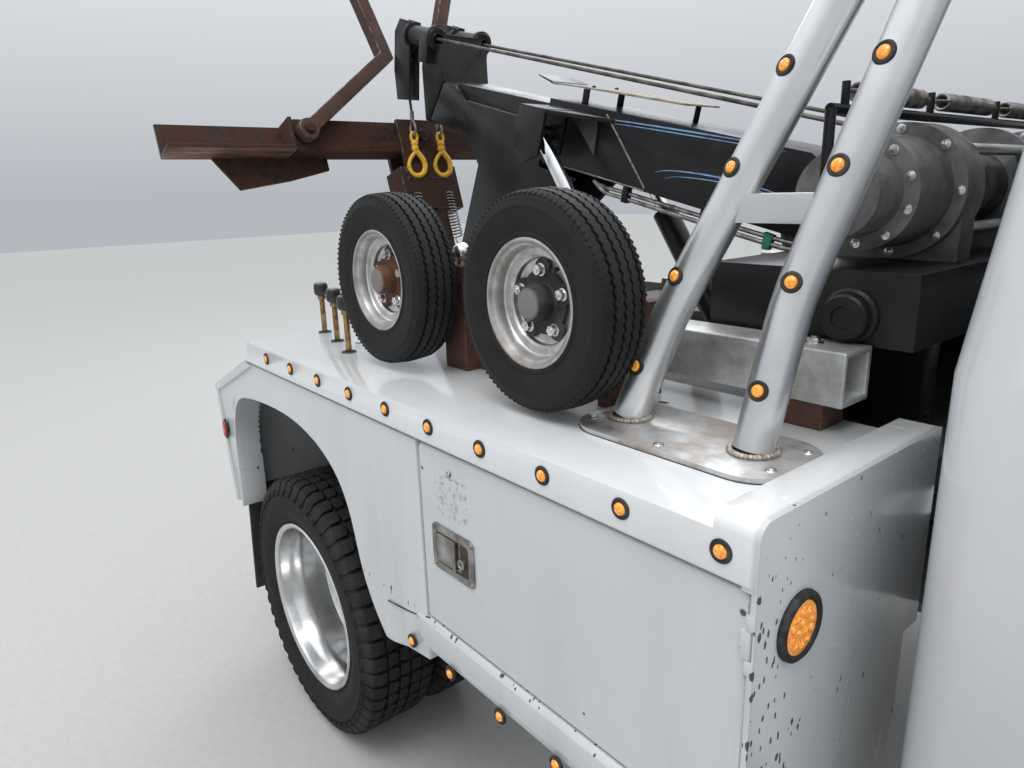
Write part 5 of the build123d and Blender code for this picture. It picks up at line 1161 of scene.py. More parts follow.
satin.put("Normal", satin.bump(brushed * 0.6 + satin.noise(260.0, 2.0) * 0.2, 0.14, 0.0008))
shaped("pylon", satin, 0.003, None, 3, 40.0, 40.0)
weld_cream = Finish("weld_bead", "polished_aluminium", (0.42, 0.39, 0.33), 0.5, 0.55).weather((120.0, 4.0),
    (0.35, 0.7), (0.52, 0.49, 0.43), (0.22, 0.17, 0.12), (0.4, 0.3), (None, 0.3, 0.0008))


def bead_run(name, points, radius):
    """A weld bead laid along the points: one overlapping drop after another."""
    deselect()
    bpy.ops.mesh.primitive_uv_sphere_add(segments=10, ring_count=6, radius=radius, location=points[0])
    first = bpy.context.object
    first.name = name
    edit_all(first)
    bpy.ops.transform.resize(value=(1.0, 1.0, 0.72))
    mode("OBJECT")
    settle()
    drops = [first]
    for spot in points[1:]:
        drop = copied(first)
        drop.location = Vector(spot) - Vector(points[0])
        drops.append(drop)
    return joined(name, *drops)


def round_line(centre, first_way, second_way, radius, count):
    """Points round a circle, or an oval when the two ways differ in length."""
    return [centre + first_way * radius * math.cos(math.tau * step / count) + second_way * radius
        * math.sin(math.tau * step / count) for step in range(count)]


beads = []
for x, y in ((1.0876, 0.9604), (1.3345, 0.9576)):
    ring = round_line(at(x, y, 1.2125), Vector((1.04, -0.03, 0.0)), ACROSS * 1.08, 0.0335, 34)
    beads.append(bead_run("foot_weld", ring, 0.0056))
pair(beads, "pylon_foot_welds", weld_cream, "chassis", 50.0)
SCREW = ((0.0, 1.2085), (0.0092, 1.2085), (0.0092, 1.21), (0.008, 1.2112), (0.0042, 1.2112), (0.0036, 1.2096),
    (0.0, 1.2096))
screws = [spun("screw", SCREW, at(x, y, 0.0), UP, 20) for x, y in ((1.045, 1.01), (1.045, 0.905),
    (1.395, 1.008), (1.395, 0.905), (1.215, 1.038))]
pair(screws, "pylon_screws", nut_plate, "chassis")
gasket = []
for turned_from, cx, cy in ((0, 1.357, 0.994), (90, 1.088, 0.994), (180, 1.088, 0.93), (270, 1.357, 0.93)):
    for step in range(7):
        turned = math.radians(turned_from + 15 * step)
        gasket.append(at(cx + 0.069 * math.cos(turned), cy + 0.069 * math.sin(turned), 1.2))
pair(cut_plate("gasket", gasket, UP * 0.0012), "pylon_gasket", seal_black, "chassis")


# The bullet lamps are amber plastic domes in rubber grommets, pushed into the tubes' outer faces. Four stand
# on the rear tube and four on the front one, a side.
rubbers = []
lenses = []
PYLON_LAMPS = (((1.2966, 0.8352, 1.7624), (-0.237, 0.916, 0.324)),
    ((1.2342, 0.8649, 1.6224), (-0.24, 0.915, 0.32)), ((1.1589, 0.9006, 1.4536), (-0.164, 0.945, 0.282)),
    ((1.1091, 0.9384, 1.2986), (-0.117, 0.955, 0.273)), ((1.4363, 0.8366, 1.7604), (-0.138, 0.957, 0.254)),
    ((1.3999, 0.8661, 1.622), (-0.041, 0.979, 0.199)), ((1.3584, 0.9001, 1.4629), (0.1, 0.965, 0.18)),
    ((1.3411, 0.9372, 1.3016), (0.031, 0.969, 0.246)))
TUBE_RADIUS = 0.0305
for spot, way in PYLON_LAMPS:
    way = Vector(way).normalized()
    ring, dome = little_lamp(at(*spot) + way * TUBE_RADIUS, way)
    rubbers.append(ring)
    lenses.append(dome)
pair(rubbers, "pylon_lamp_grommets", lamp_rubber, "chassis", 45.0)
pair(lenses, "pylon_lamp_lenses", lamp_amber, "chassis", 45.0)


# Beacon bar on top of the pylon: ribbed amber plastic lens blocks under pale clear ends. They sit on a black
# moulded tray.
beacon = Finish("beacon_lens", "clear_glass", (0.95, 0.42, 0.05), 0.12, Coat_Weight=0.7)
ribs = beacon.bands("Y", 26.0)
tray = beacon.ramp(beacon.along(2), 2.408, 2.405)
ends = beacon.ramp(outside_of(beacon), 0.498, 0.502)
base = beacon.mix(ends, beacon.mix(ribs, (0.8, 0.24, 0.02), (0.98, 0.45, 0.05)), (0.62, 0.66, 0.68))
beacon.coat(beacon.mix(tray, base, (0.015, 0.015, 0.016)), 0.1 + 0.4 * tray + 0.08 * beacon.noise(30.0, 4.0),
    (ribs, 0.25, 0.002))
shaped("light_bar", beacon, 0.006, None, 3)


# Dolly wheels: four small tyres with zigzag grooves on satin steel wheels, bolted to rusty axle frames on the
# deck. One wheel is modelled and copied to the other three places.
DOLLY_Y = 1.03
DOLLY_Z = 1.412
DOLLY_REAR = 0.402
DOLLY_FRONT = 0.945


def wheel_radius(finish):
    """Distance from the axle of the nearer dolly wheel, fore or aft."""
    rear = finish.away_from_axle(at(DOLLY_REAR, 0.0, DOLLY_Z))
    front = finish.away_from_axle(at(DOLLY_FRONT, 0.0, DOLLY_Z))
    return rear.math("MINIMUM", rear, front)


dolly_rubber = Finish("dolly_rubber", "dolly_wheel", (0.02, 0.02, 0.021), 0.7)
reach = wheel_radius(dolly_rubber)
dusty = dolly_rubber.noise(24.0, 6.0, rough=0.65)
base = dolly_rubber.mix(dolly_rubber.ramp(dusty, 0.3, 0.75), (0.007, 0.007, 0.008), (0.019, 0.018, 0.018))
tops = dolly_rubber.ramp(reach, 0.1965, 0.1995)
base = dolly_rubber.mix(tops * 0.5, base, (0.026, 0.026, 0.027))
dolly_rubber.coat(base, 0.5 + 0.3 * dusty)
dolly_rubber.shine(LOW_SHINE)
rings = dolly_rubber.rings(reach, 420.0, 2.0)
dolly_rubber.put("Normal", dolly_rubber.bump(rings * 0.7 + dolly_rubber.noise(500.0, 2.0) * 0.3, 0.25, 0.001))

half_tyre = ((0.1165, 0.047), (0.1195, 0.0502), (0.1245, 0.0508), (0.127, 0.049), (0.13, 0.0496),
    (0.142, 0.0535), (0.156, 0.0558), (0.168, 0.0556), (0.17, 0.0562), (0.1725, 0.056), (0.174, 0.055),
    (0.184, 0.0528), (0.1915, 0.049), (0.1955, 0.044), (0.1972, 0.0352), (0.1912, 0.0344), (0.1912, 0.0292),
    (0.198, 0.0284), (0.1992, 0.013), (0.1932, 0.0122), (0.1932, 0.0074), (0.2, 0.0066))
outline = [(r, DOLLY_Y + y) for r, y in half_tyre] + [(r, DOLLY_Y - y) for r, y in reversed(half_tyre)]
STEPS = 140
axle = at(DOLLY_REAR, 0.0, DOLLY_Z)
tyre = spun("tyre", outline, axle, steps=STEPS)
for shift, wanted in ((0.0021, 0), (-0.0021, 1)):
    take(tyre)
    for corner in tyre.data.vertices:
        arm = corner.co - axle
        step = round(math.atan2(arm.z, arm.x) / math.tau * STEPS) % 2
        across = abs(corner.co.y - DOLLY_Y)
        corner.select = math.hypot(arm.x, arm.z) > 0.19 and across < 0.036 and step == wanted
    for group in (tyre.data.edges, tyre.data.polygons):
        for item in group:
            item.select = False
    mode("EDIT")
    bpy.ops.mesh.select_mode(type="VERT")
    bpy.ops.transform.translate(value=(0.0, shift, 0.0))
    mode("OBJECT")
RIB = ((-0.0022, 0.0382, 0.1935), (0.0022, 0.0382, 0.1935), (0.0052, 0.0505, 0.188), (0.0008, 0.0505, 0.188))
sipes = [cut_plate("rib", [axle + Vector((x, DOLLY_Y + side * y, z)) for x, y, z in RIB],
    Vector((0.0, side * 0.001, 0.0042))) for side in (1.0, -1.0)]
sipes = ringed(joined("sipes", *sipes), 92, axle)
tyre = kept([tyre, sipes], "dolly_tyre_left_rear", dolly_rubber, "dolly_wheel_left_rear", 32.0)

dolly_satin = Finish("dolly_rim_satin", "dolly_wheel", (0.55, 0.55, 0.55), 0.38, 0.9)
reach = wheel_radius(dolly_satin)
mottled = dolly_satin.noise(28.0, 6.0, rough=0.65)
corner_dirt = dolly_satin.ramp(reach, 0.1, 0.108) * dolly_satin.ramp(reach, 0.117, 0.11)
base = dolly_satin.mix(dolly_satin.ramp(mottled, 0.4, 0.72), (0.64, 0.64, 0.64), (0.34, 0.32, 0.3))
dolly_satin.coat(dolly_satin.mix(corner_dirt * 0.5, base, (0.16, 0.12, 0.09)),
    0.28 + 0.28 * mottled + 0.2 * corner_dirt, (dolly_satin.noise(190.0, 3.0), 0.18, 0.0008))
half_rim = ((0.1085, 0.044), (0.111, 0.0478), (0.1145, 0.049), (0.117, 0.0478), (0.1176, 0.0455),
    (0.1164, 0.0425), (0.11, 0.04), (0.1075, 0.02))
inner = ((0.1035, -0.04), (0.102, -0.012), (0.045, -0.008), (0.045, 0.002), (0.074, 0.002), (0.078, 0.004),
    (0.08, 0.012), (0.084, 0.016), (0.096, 0.018), (0.0985, 0.021), (0.1, 0.033), (0.103, 0.04))
outline = [(r, DOLLY_Y + y) for r, y in half_rim]
outline += [(r, DOLLY_Y - y) for r, y in reversed(half_rim)]
outline += [(r, DOLLY_Y + y) for r, y in inner]
rim = kept(spun("rim", outline, axle, steps=72), "dolly_rim_left_rear", dolly_satin, "dolly_wheel_left_rear",
    30.0)

hub_rust = Finish("dolly_hub", "dolly_wheel", (0.09, 0.045, 0.03), 0.65, 0.3)
scale_rust = hub_rust.noise(30.0, 6.0, rough=0.7)
is_front = hub_rust.ramp(hub_rust.along(0), 0.66 + REAR_AXLE, 0.67 + REAR_AXLE)
rusty = hub_rust.mix(hub_rust.ramp(scale_rust, 0.35, 0.68), (0.15, 0.062, 0.03), (0.055, 0.026, 0.018))
black = hub_rust.mix(hub_rust.ramp(scale_rust, 0.4, 0.66), (0.02, 0.02, 0.021), (0.075, 0.068, 0.06))
cap_worn = hub_rust.ramp(outside_of(hub_rust), DOLLY_Y + 0.0445, DOLLY_Y + 0.0475)
base = hub_rust.mix(is_front, rusty, black)
hub_rust.coat(hub_rust.mix(cap_worn * 0.8, base, (0.24, 0.235, 0.225)), 0.5 + 0.3 * scale_rust,
    (scale_rust, 0.35, 0.001))
HUB = ((0.0, -0.076), (0.03, -0.076), (0.03, -0.03), (0.06, -0.025), (0.06, 0.008), (0.0585, 0.01),
    (0.039, 0.0105), (0.035, 0.014), (0.0325, 0.04), (0.0285, 0.046), (0.02, 0.0485), (0.0, 0.049))
hub = spun("hub", [(r, DOLLY_Y + y) for r, y in HUB], axle, steps=48)
lobe = rod("lobe", axle + Vector((0.0, DOLLY_Y - 0.001, 0.06)), axle + Vector((0.0, DOLLY_Y + 0.011, 0.06)),
    0.02, 24, 0.003)
hub = kept([hub, ringed(lobe, 5, axle)], "dolly_hub_left_rear", hub_rust, "dolly_wheel_left_rear", 35.0)
studs = ringed(nut("nut", axle + Vector((0.0, DOLLY_Y + 0.0108, 0.058)), ACROSS, 0.0098, 0.014, 0.0118), 5,
    axle)
valve = joined("valve", rod("valve", axle + Vector((0.06, DOLLY_Y + 0.002, 0.066)),
    axle + Vector((0.0575, DOLLY_Y + 0.03, 0.063)), 0.0034, 12, 0.0006),
    rod("valve_cap", axle + Vector((0.0577, DOLLY_Y + 0.028, 0.0632)),
    axle + Vector((0.057, DOLLY_Y + 0.037, 0.0624)), 0.0044, 12, 0.0008))
studs = kept(studs, "dolly_nuts_left_rear", nut_plate, "dolly_wheel_left_rear")
valve = kept(valve, "dolly_valve_left_rear", seal_black, "dolly_wheel_left_rear")
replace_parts(tyre, "dolly_wheel_left_rear")
AHEAD = (DOLLY_FRONT - DOLLY_REAR, 0.0, 0.0)
for piece in (tyre, rim, hub, studs, valve):
    kind = piece.name.replace("_left_rear", "")
    front = twin_of(piece, kind + "_left_front", "dolly_wheel_left_front", AHEAD)
    for source, place in ((piece, "rear"), (front, "front")):
        other = twin_of(source, f"{kind}_right_{place}", "dolly_wheel_right_" + place, flip=True)
        if piece == tyre:
            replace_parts(other, "dolly_wheel_right_" + place)
    if piece == tyre:
        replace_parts(front, "dolly_wheel_left_front")


# Dolly frames and cross bars: the frames are rusty square tube and castings, the bars light alloy box
# sections. Plated bolts and turned ball pins hold them.
dolly_rust = Finish("dolly_frame_rust", "worn_steel", (0.1, 0.045, 0.03), 0.7, 0.2)
scale_rust = dolly_rust.noise(13.0, 6.0, rough=0.7)
fine_rust = dolly_rust.noise(75.0, 4.0, rough=0.6)
base = dolly_rust.mix(dolly_rust.ramp(scale_rust, 0.36, 0.66), (0.058, 0.025, 0.018), (0.12, 0.052, 0.03))
dolly_rust.coat(dolly_rust.mix(dolly_rust.ramp(fine_rust, 0.55, 0.75), base, (0.035, 0.024, 0.02)),
    0.55 + 0.3 * scale_rust, (scale_rust * 0.5 + fine_rust * 0.5, 0.4, 0.0014))
rust_edge = bare_edge("dolly_frame_edge", "worn_steel", (0.3, 0.19, 0.12), 0.5, 0.4)
shaped("dolly_frames", dolly_rust, 0.005, rust_edge, 3)
bar_alloy = Finish("bar_alloy", "polished_aluminium", (0.55, 0.56, 0.56), 0.42, 0.75)
oxide = bar_alloy.noise(9.0, 6.0, rough=0.65)
drag = bar_alloy.noise(50.0, 4.0, (0.12, 1.0, 1.0), 0.6)
bar_alloy.coat(bar_alloy.mix(bar_alloy.ramp(oxide, 0.4, 0.7), (0.6, 0.61, 0.61), (0.27, 0.25, 0.22)),
    0.32 + 0.2 * drag + 0.2 * oxide, (drag, 0.2, 0.0008))
shaped("dolly_bars", bar_alloy, 0.004, None, 3)
pins = [nut("bar_bolt", at(x, 0.735, 1.34), UP, 0.0115, 0.01, 0.0165) for x in (1.3, 0.48)]
for x in (0.5325, 0.995):
    pins.append(spun("pin_ball", ((0.0, 0.0), (0.014, 0.0), (0.014, 0.01), (0.02, 0.018), (0.0225, 0.03),
        (0.0185, 0.042), (0.0095, 0.05), (0.0, 0.0515)), at(x, 0.922, 1.4435), UP, 28))
    pins.append(nut("frame_bolt", at(x, 0.8925, 1.409), -ACROSS, 0.0125, 0.011, 0.018))
pair(pins, "dolly_pins", nut_plate, "chassis")


# Turret, winch bench and booms: welded steel plate in gloss black, rubbed bright along its edges. The boom
# carries light blue pinstripes, weld lines and a ledge in bright silver, a painted highlight; a weathered guard
# sheet stands on a post under the ropes.
BOOM_SLOPE = math.radians(13.5)


def on_boom(s, y, t):
    """A point on the boom: s along it from its pin, t square to it, upward."""
    return at(1.08 - s * math.cos(BOOM_SLOPE) + t * math.sin(BOOM_SLOPE), y,
        1.47 + s * math.sin(BOOM_SLOPE) + t * math.cos(BOOM_SLOPE))


def boom_plate(name, y, corners, thick):
    """A flat outline of (s, t) corners on the boom, pushed across it by thick."""
    return cut_plate(name, [on_boom(s, y, t) for s, t in corners], ACROSS * thick)


boom_way = on_boom(1.0, 0.0, 0.0) - on_boom(0.0, 0.0, 0.0)
boom_up = on_boom(0.0, 0.0, 1.0) - on_boom(0.0, 0.0, 0.0)
for node in ("turret", "outer_boom", "inner_boom", "boom_leg"):
    shaped(node, gear_black, 0.0035, gear_edge)

# Bright silver for the weld beads, also laid on the boom ledge as a painted highlight.
weld_and_highlight_bright = Finish("weld_and_highlight_silver", "black_paint", (0.3, 0.3, 0.3), 0.4, 0.8).weather((150.0, 3.0), (0.4, 0.7),
    (0.34, 0.34, 0.34), (0.07, 0.065, 0.06), (0.3, 0.35), (None, 0.3, 0.0008))


def seam_weld(name, start, end, radius):
    """A straight weld between two points, one drop over the next."""
    run = Vector(end) - Vector(start)
    count = int(run.length / (radius * 1.15)) + 1
    return bead_run(name, [Vector(start) + run * (step / count) for step in range(count + 1)], radius)


OUTER_FACE = 0.1252
seams = [seam_weld("weld", on_boom(0.903, OUTER_FACE, 0.15), on_boom(0.698, OUTER_FACE, -0.033), 0.0042),
    seam_weld("weld", on_boom(1.17, OUTER_FACE, -0.04), on_boom(0.7, OUTER_FACE, -0.042), 0.0036)]
pair(seams, "boom_welds", weld_and_highlight_bright, "outer_boom", 50.0)

gusset_grey = Finish("gusset_grey", "black_paint", (0.085, 0.09, 0.095), 0.34, 0.3).weather((14.0, 5.0),
    (0.35, 0.7), (0.11, 0.115, 0.12), (0.035, 0.036, 0.04), (0.28, 0.25), ((160.0, 3.0), 0.15, 0.0008))
gusset = eased(boom_plate("gusset", OUTER_FACE - 0.001, ((1.045, 0.12), (0.935, 0.14), (0.925, 0.02)), 0.01),
    0.0015)
pair(gusset, "boom_gusset", gusset_grey, "outer_boom")

INNER_FACE = 0.1071
hexagon = ((1.903, -0.008), (1.828, 0.142), (1.751, 0.145), (1.672, 0.09), (1.681, -0.018), (1.76, -0.026))
plate = eased(boom_plate("head_plate", INNER_FACE, hexagon, 0.008), 0.0022, 2)
# The ledge's bright silver is a painted highlight along the inner boom's side.
ledge = rod("ledge", on_boom(1.668, INNER_FACE + 0.004, 0.088), on_boom(1.215, INNER_FACE + 0.004, 0.074),
    0.0058, 12)
pair(plate, "boom_head_plate", gear_black, "inner_boom")
pair(ledge, "boom_ledge", weld_and_highlight_bright, "inner_boom", 50.0)

stripe_blue = Finish("stripe_blue", "black_paint", (0.17, 0.36, 0.62), 0.3, Coat_Weight=0.4).weather((22.0,
    5.0), (0.45, 0.75), (0.2, 0.42, 0.7), (0.06, 0.13, 0.25), (0.26, 0.25))


def pinstripe(name, line, widest):
    """A painted stripe that tapers to a point at both ends, drawn along (s, t) points on the boom's side."""
    upper = []
    lower = []
    last = len(line) - 1
    for number, (s, t) in enumerate(line):
        half = 0.5 * widest * math.sin(math.pi * (0.03 + 0.94 * number / last)) ** 0.7
        upper.append((s, t + half))
        lower.append((s, t - half))
    return boom_plate(name, OUTER_FACE + 0.0001, upper + lower[::-1], 0.0003)


stripes = []
for lift, widest, trim in ((0.0, 0.0042, 0.0), (-0.0085, 0.003, 0.035)):
    stripes.append(pinstripe("stripe",
        [(0.915 - trim - 0.052 * step, 0.137 + lift + 0.03 * (step / 14.0) ** 0.8) for step in range(15)][:13],
        widest))
for lift, widest, trim in ((0.0, 0.0044, 0.0), (-0.01, 0.003, 0.04)):
    line = []
    for step in range(15):
        along = step / 14.0
        line.append((0.667 - trim - 0.44 * along,
            0.021 + lift + 0.062 * math.sin(math.pi * 0.5 * along) ** 0.7 - 0.035 * along))
    stripes.append(pinstripe("stripe", line, widest))
pair(stripes, "boom_pinstripes", stripe_blue, "outer_boom")


# Hydraulic lines: two bright steel tubes bent to follow the boom's underside on its right, held by two clip
# blocks. A strip of green cloth is tied round them.
LINE_Y = -0.106
spring_steel = Finish("spring_steel", "chassis_steel", (0.3, 0.29, 0.28), 0.42, 0.9).weather((40.0, 4.0),
    (0.38, 0.7), (0.38, 0.37, 0.36), (0.13, 0.105, 0.09), (0.3, 0.35))
lines = [bent("line", [on_boom(0.93, LINE_Y, -0.06), on_boom(0.88, LINE_Y, t - 0.004), on_boom(0.82, LINE_Y, t),
    on_boom(0.5, LINE_Y, t), on_boom(0.24, LINE_Y, t), on_boom(0.15, LINE_Y, t + 0.006),
    on_boom(0.11, LINE_Y, -0.05)], 0.0068) for t in (-0.068, -0.086)]
kept(lines, "boom_lines", spring_steel, "outer_boom", 50.0)
clips = []
for s in (0.78, 0.47):
    block = ((s - 0.012, -0.04), (s + 0.012, -0.04), (s + 0.012, -0.098), (s - 0.012, -0.098))
    clips.append(eased(boom_plate("clip", LINE_Y - 0.011, block, 0.022), 0.002, 2))
kept(clips, "boom_line_clips", gear_black, "outer_boom")
green_cloth = Finish("green_cloth", "seat_fabric", (0.02, 0.16, 0.1), 0.8).weather((90.0, 4.0), None,
    (0.012, 0.11, 0.07), (0.04, 0.24, 0.16), (0.7, 0.2), (None, 0.4, 0.001))
wrap = boom_plate("wrap", LINE_Y - 0.0095, ((0.268, -0.056), (0.236, -0.058), (0.24, -0.1), (0.262, -0.102)),
    0.019)
kept(eased(wrap, 0.003, 3), "boom_line_tie", green_cloth, "outer_boom", 50.0)


# Guard sheet: a weathered pale board strip that keeps the ropes off the boom's top. It is bolted to short
# black steel posts and ends in a turned-up steel tip.
GUARD_HALF = 0.085
board = Finish("guard_board", "black_paint", (0.36, 0.33, 0.29), 0.85).weather((30.0, 6.0, (0.25, 2.0, 2.0),
    0.65), (0.32, 0.7), (0.5, 0.47, 0.42), (0.16, 0.13, 0.105), (0.75, 0.2), (None, 0.5, 0.0015))
GUARD = ((0.64, 0.216), (0.86, 0.214), (1.08, 0.212), (1.235, 0.2085), (1.235, 0.2125), (1.08, 0.217),
    (0.86, 0.221), (0.64, 0.222))
kept(eased(boom_plate("guard", -GUARD_HALF, GUARD, GUARD_HALF * 2), 0.0012), "rope_guard_board", board,
    "outer_boom")
tip = boom_plate("guard_tip", -GUARD_HALF, ((1.215, 0.207), (1.3, 0.226), (1.303, 0.231), (1.225, 0.216)),
    GUARD_HALF * 2)
posts = [rod("guard_post", on_boom(1.05, y, 0.15), on_boom(1.05, y, 0.2125), 0.016, 4,
    0.002) for y in (-GUARD_HALF, GUARD_HALF)]
foot = rod("guard_foot", on_boom(0.7, 0.06, 0.15), on_boom(0.7, 0.06, 0.2165), 0.012, 4, 0.002)
caps = [nut("guard_bolt", on_boom(1.05, y, 0.2165), boom_up, 0.0075, 0.006) for y in (-0.055, 0.055)]
kept([eased(tip, 0.001), *posts, foot, *caps], "rope_guard_posts", gear_black, "outer_boom")


# Boom head: each rope runs through a swivel barrel between two thick flange discs, turned from black steel.
# One disc stands at each end of the barrel.
discs = []
for s, t in ((1.9175, 0.293), (2.096, 0.295)):
    foot = on_boom(s, 0.113, t)
    ring = ((0.0185, -0.009), (0.043, -0.009), (0.0455, -0.006), (0.0455, 0.006), (0.043, 0.009),
        (0.032, 0.009), (0.029, 0.0065), (0.025, 0.0065), (0.0225, 0.0095), (0.0185, 0.0085))
    discs.append(spun("flange", ring, foot, -boom_way if s < 2.0 else boom_way, 44))
pair(discs, "swivel_flanges", gear_black, "inner_boom")


# Winches: two drums in line on the bench, wound with wire rope. Each runs between a cast-iron gearbox and a
# bearing plate held by four tie bars, and the covers are bolted on.
winch_cast = Finish("winch_casting", "cast_iron", (0.1, 0.1, 0.1), 0.5, 0.45).weather((12.0, 6.0, EVEN, 0.65),
    (0.38, 0.7), (0.215, 0.215, 0.215), (0.085, 0.078, 0.072), (0.42, 0.3), ((210.0, 4.0), 0.35, 0.001))
WINCH = (1.3, 1.585)
units = shaped("winch_gearboxes", winch_cast, 0.004, None, 3)
tie_steel = Finish("tie_bar_steel", "cast_iron", (0.42, 0.42, 0.41), 0.3,
    0.9).weather((40.0, 5.0, (1.0, 0.2, 1.0)), (0.4, 0.7), (0.48, 0.48, 0.47), (0.2, 0.18, 0.16), (0.24, 0.3))
coated_where(units, lambda c: abs(math.hypot(c.x - REAR_AXLE - WINCH[0], c.z - WINCH[1]) - 0.113) < 0.0115
    and (-0.4 < c.y < -0.125 or 0.245 < c.y < 0.52), tie_steel)
rope_steel = Finish("wire_rope", "cast_iron", (0.11, 0.1, 0.09), 0.5, 0.6)
greasy = rope_steel.noise(18.0, 5.0)
lay = rope_steel.bands("DIAGONAL", 150.0)
rope_steel.coat(rope_steel.mix(rope_steel.ramp(greasy, 0.35, 0.7), (0.17, 0.155, 0.14), (0.045, 0.037, 0.03)),
    0.38 + 0.3 * greasy, (lay, 0.5, 0.001))
DRUMS = (("right", -0.405), ("left", 0.24))
for side, drum_y in DRUMS:
    shaped("winch_drum_" + side, winch_cast, 0.002)
    coils = [(0.0615, drum_y + 0.011)]
    for turn_number in range(20):
        middle = drum_y + 0.019 + 0.013 * turn_number
        for across, out in ((-0.0055, 0.0665), (-0.003, 0.0716), (0.0, 0.0733), (0.003, 0.0716),
            (0.0055, 0.0665)):
            coils.append((out, middle + across))
    coils.append((0.0615, drum_y + 0.274))
    wound = spun("wound", coils, at(WINCH[0], 0.0, WINCH[1]), ACROSS, 56)
    kept(wound, "wound_rope_" + side, rope_steel, "winch_drum_" + side, 60.0)
fittings = []
for y, count, ring_r in ((-0.6205, 10, 0.085), (-0.4855, 8, 0.109), (0.0245, 10, 0.085), (0.1595, 8, 0.109)):
    bolt = nut("cover_bolt", at(WINCH[0], y, WINCH[1] + ring_r), -ACROSS, 0.0062, 0.006, 0.0085)
    fittings.append(ringed(bolt, count, at(WINCH[0], 0.0, WINCH[1])))
kept(fittings, "winch_cover_bolts", nut_plate, "chassis")


# The bench's end cap is a flanged cap turned from black steel. It closes the bench's cross tube on the side
# that faces the right body.
cap = spun("bench_cap", ((0.0, 0.0), (0.048, 0.0), (0.048, 0.01), (0.043, 0.014), (0.04, 0.014), (0.04, 0.03),
    (0.036, 0.034), (0.02, 0.034), (0.018, 0.03), (0.0, 0.03)), at(1.335, -0.6825, 1.384), -ACROSS, 48)
kept(cap, "bench_end_cap", gear_black, "chassis", 35.0)


# The data plate is a blank piece of dulled sheet aluminium. It is bent round the near gearbox's cover and
# stuck to it.
arc = []
for radius, turns in ((0.0981, range(106, 161, 6)), (0.0992, range(160, 105, -6))):
    arc += [at(WINCH[0] + radius * math.cos(math.radians(turn)), -0.605,
        WINCH[1] + radius * math.sin(math.radians(turn))) for turn in turns]
data_plate = Finish("data_plate", "polished_aluminium", (0.46, 0.46, 0.45), 0.45, 0.7).weather((70.0, 5.0),
    (0.4, 0.66), (0.5, 0.5, 0.49), (0.24, 0.23, 0.22), (0.35, 0.35))
kept(cut_plate("data_plate", arc, ACROSS * 0.095), "winch_data_plate", data_plate, "chassis", 40.0)


# Rope tensioners: a row of coil springs with hooked ends above the drums, wound from spring steel and
# stretched between stands on a round bar. Black rubber hoses run down to the gearboxes beside them.
def coil_spring(name, start, end, radius, wire, turns):
    """A close-wound pull spring with a straight hooked end each way."""
    start = Vector(start)
    end = Vector(end)
    run = (end - start).normalized()
    side = run.cross(UP)
    if side.length < 0.1:
        side = ACROSS.copy()
    side.normalize()
    rise = side.cross(run)
    line = [start - run * radius * 2.2, start - run * radius * 1.2 + side * radius * 0.6]
    steps = turns * 10
    for step in range(steps + 1):
        turned = math.tau * step / 10.0
        line.append(start + (end - start) * step / steps + (side * math.cos(turned) + rise * math.sin(turned))
            * radius)
    line += [end + run * radius * 1.2 + side * radius * 0.6, end + run * radius * 2.2]
    return bent(name, line, wire, False)


BAR_X = 1.318
springs = [coil_spring("tension_spring", at(BAR_X, y, 1.742), at(BAR_X, y + 0.235, 1.742), 0.0135, 0.003,
    34) for y in (-0.7, -0.375, -0.05)]
kept(springs, "tensioner_springs", spring_steel, "chassis", 60.0)
stands = [rod("stand", at(BAR_X, y, 1.706), at(BAR_X, y, 1.756), 0.0065, 12) for y in (-0.735, -0.42, -0.095,
    0.225)]
stands.append(rod("stand_bar", at(BAR_X, -0.78, 1.714), at(BAR_X, 0.56, 1.714), 0.0085, 16))
stands += [rod("bar_leg", at(BAR_X, y, 1.714), at(BAR_X, y, 1.455), 0.0085, 16) for y in (-0.7765, 0.5565)]
kept(stands, "tensioner_bar", gear_black, "chassis")
hoses = []
for y, far in ((-0.04, 0.02), (-0.01, 0.06)):
    hoses.append(bent("hose", [at(1.395, y, 1.6), at(1.432, y, 1.59), at(1.462, y, 1.53),
        at(1.465, (y + far) / 2, 1.38), at(1.45, far, 1.24), at(1.42, far, 1.14)], 0.0078))
    hoses.append(rod("hose_end", at(1.378, y, 1.603), at(1.408, y, 1.597), 0.0115, 6, 0.001))
kept(hoses, "winch_hoses", seal_black, "chassis", 50.0)


# Winch ropes: greasy wire rope from each drum's top over the boom to its swivel barrel, taut along two
# straight runs. From the barrel each one falls to a thimble and a hook.
ROPE = 0.0062
HANG_X = -1.01
HANG_Y = 0.07
for side, sign, drum_y in (("right", -1.0, -0.135), ("left", 1.0, 0.262)):
    top = at(1.302, drum_y, WINCH[1] + 0.0735)
    barrel_in = on_boom(1.905, sign * 0.113, 0.2935)
    mid = top + (barrel_in - top) * 0.4
    first = bent("rope", [top + (mid - top) * (step / 6.0) for step in range(7)], ROPE, False)
    first = kept(first, "rope_to_boom_" + side, rope_steel, None, 60.0)
    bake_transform(first)
    second = bent("rope", [mid + (barrel_in - mid) * (step / 6.0) for step in range(7)], ROPE, False)
    second = kept(second, "rope_on_boom_" + side, rope_steel, None, 60.0)
    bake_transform(second)
    hang_y = sign * HANG_Y
    fall = bent("rope", [barrel_in, on_boom(2.09, sign * 0.112, 0.295), on_boom(2.15, sign * 0.108, 0.296),
        on_boom(2.195, sign * 0.1, 0.285), on_boom(2.205, sign * 0.092, 0.245), at(-1.016, sign * 0.082, 2.09),
        at(HANG_X, hang_y, 1.96), at(HANG_X, hang_y, 1.925)], ROPE)
    kept(fall, "rope_fall_" + side, rope_steel, "inner_boom", 60.0)


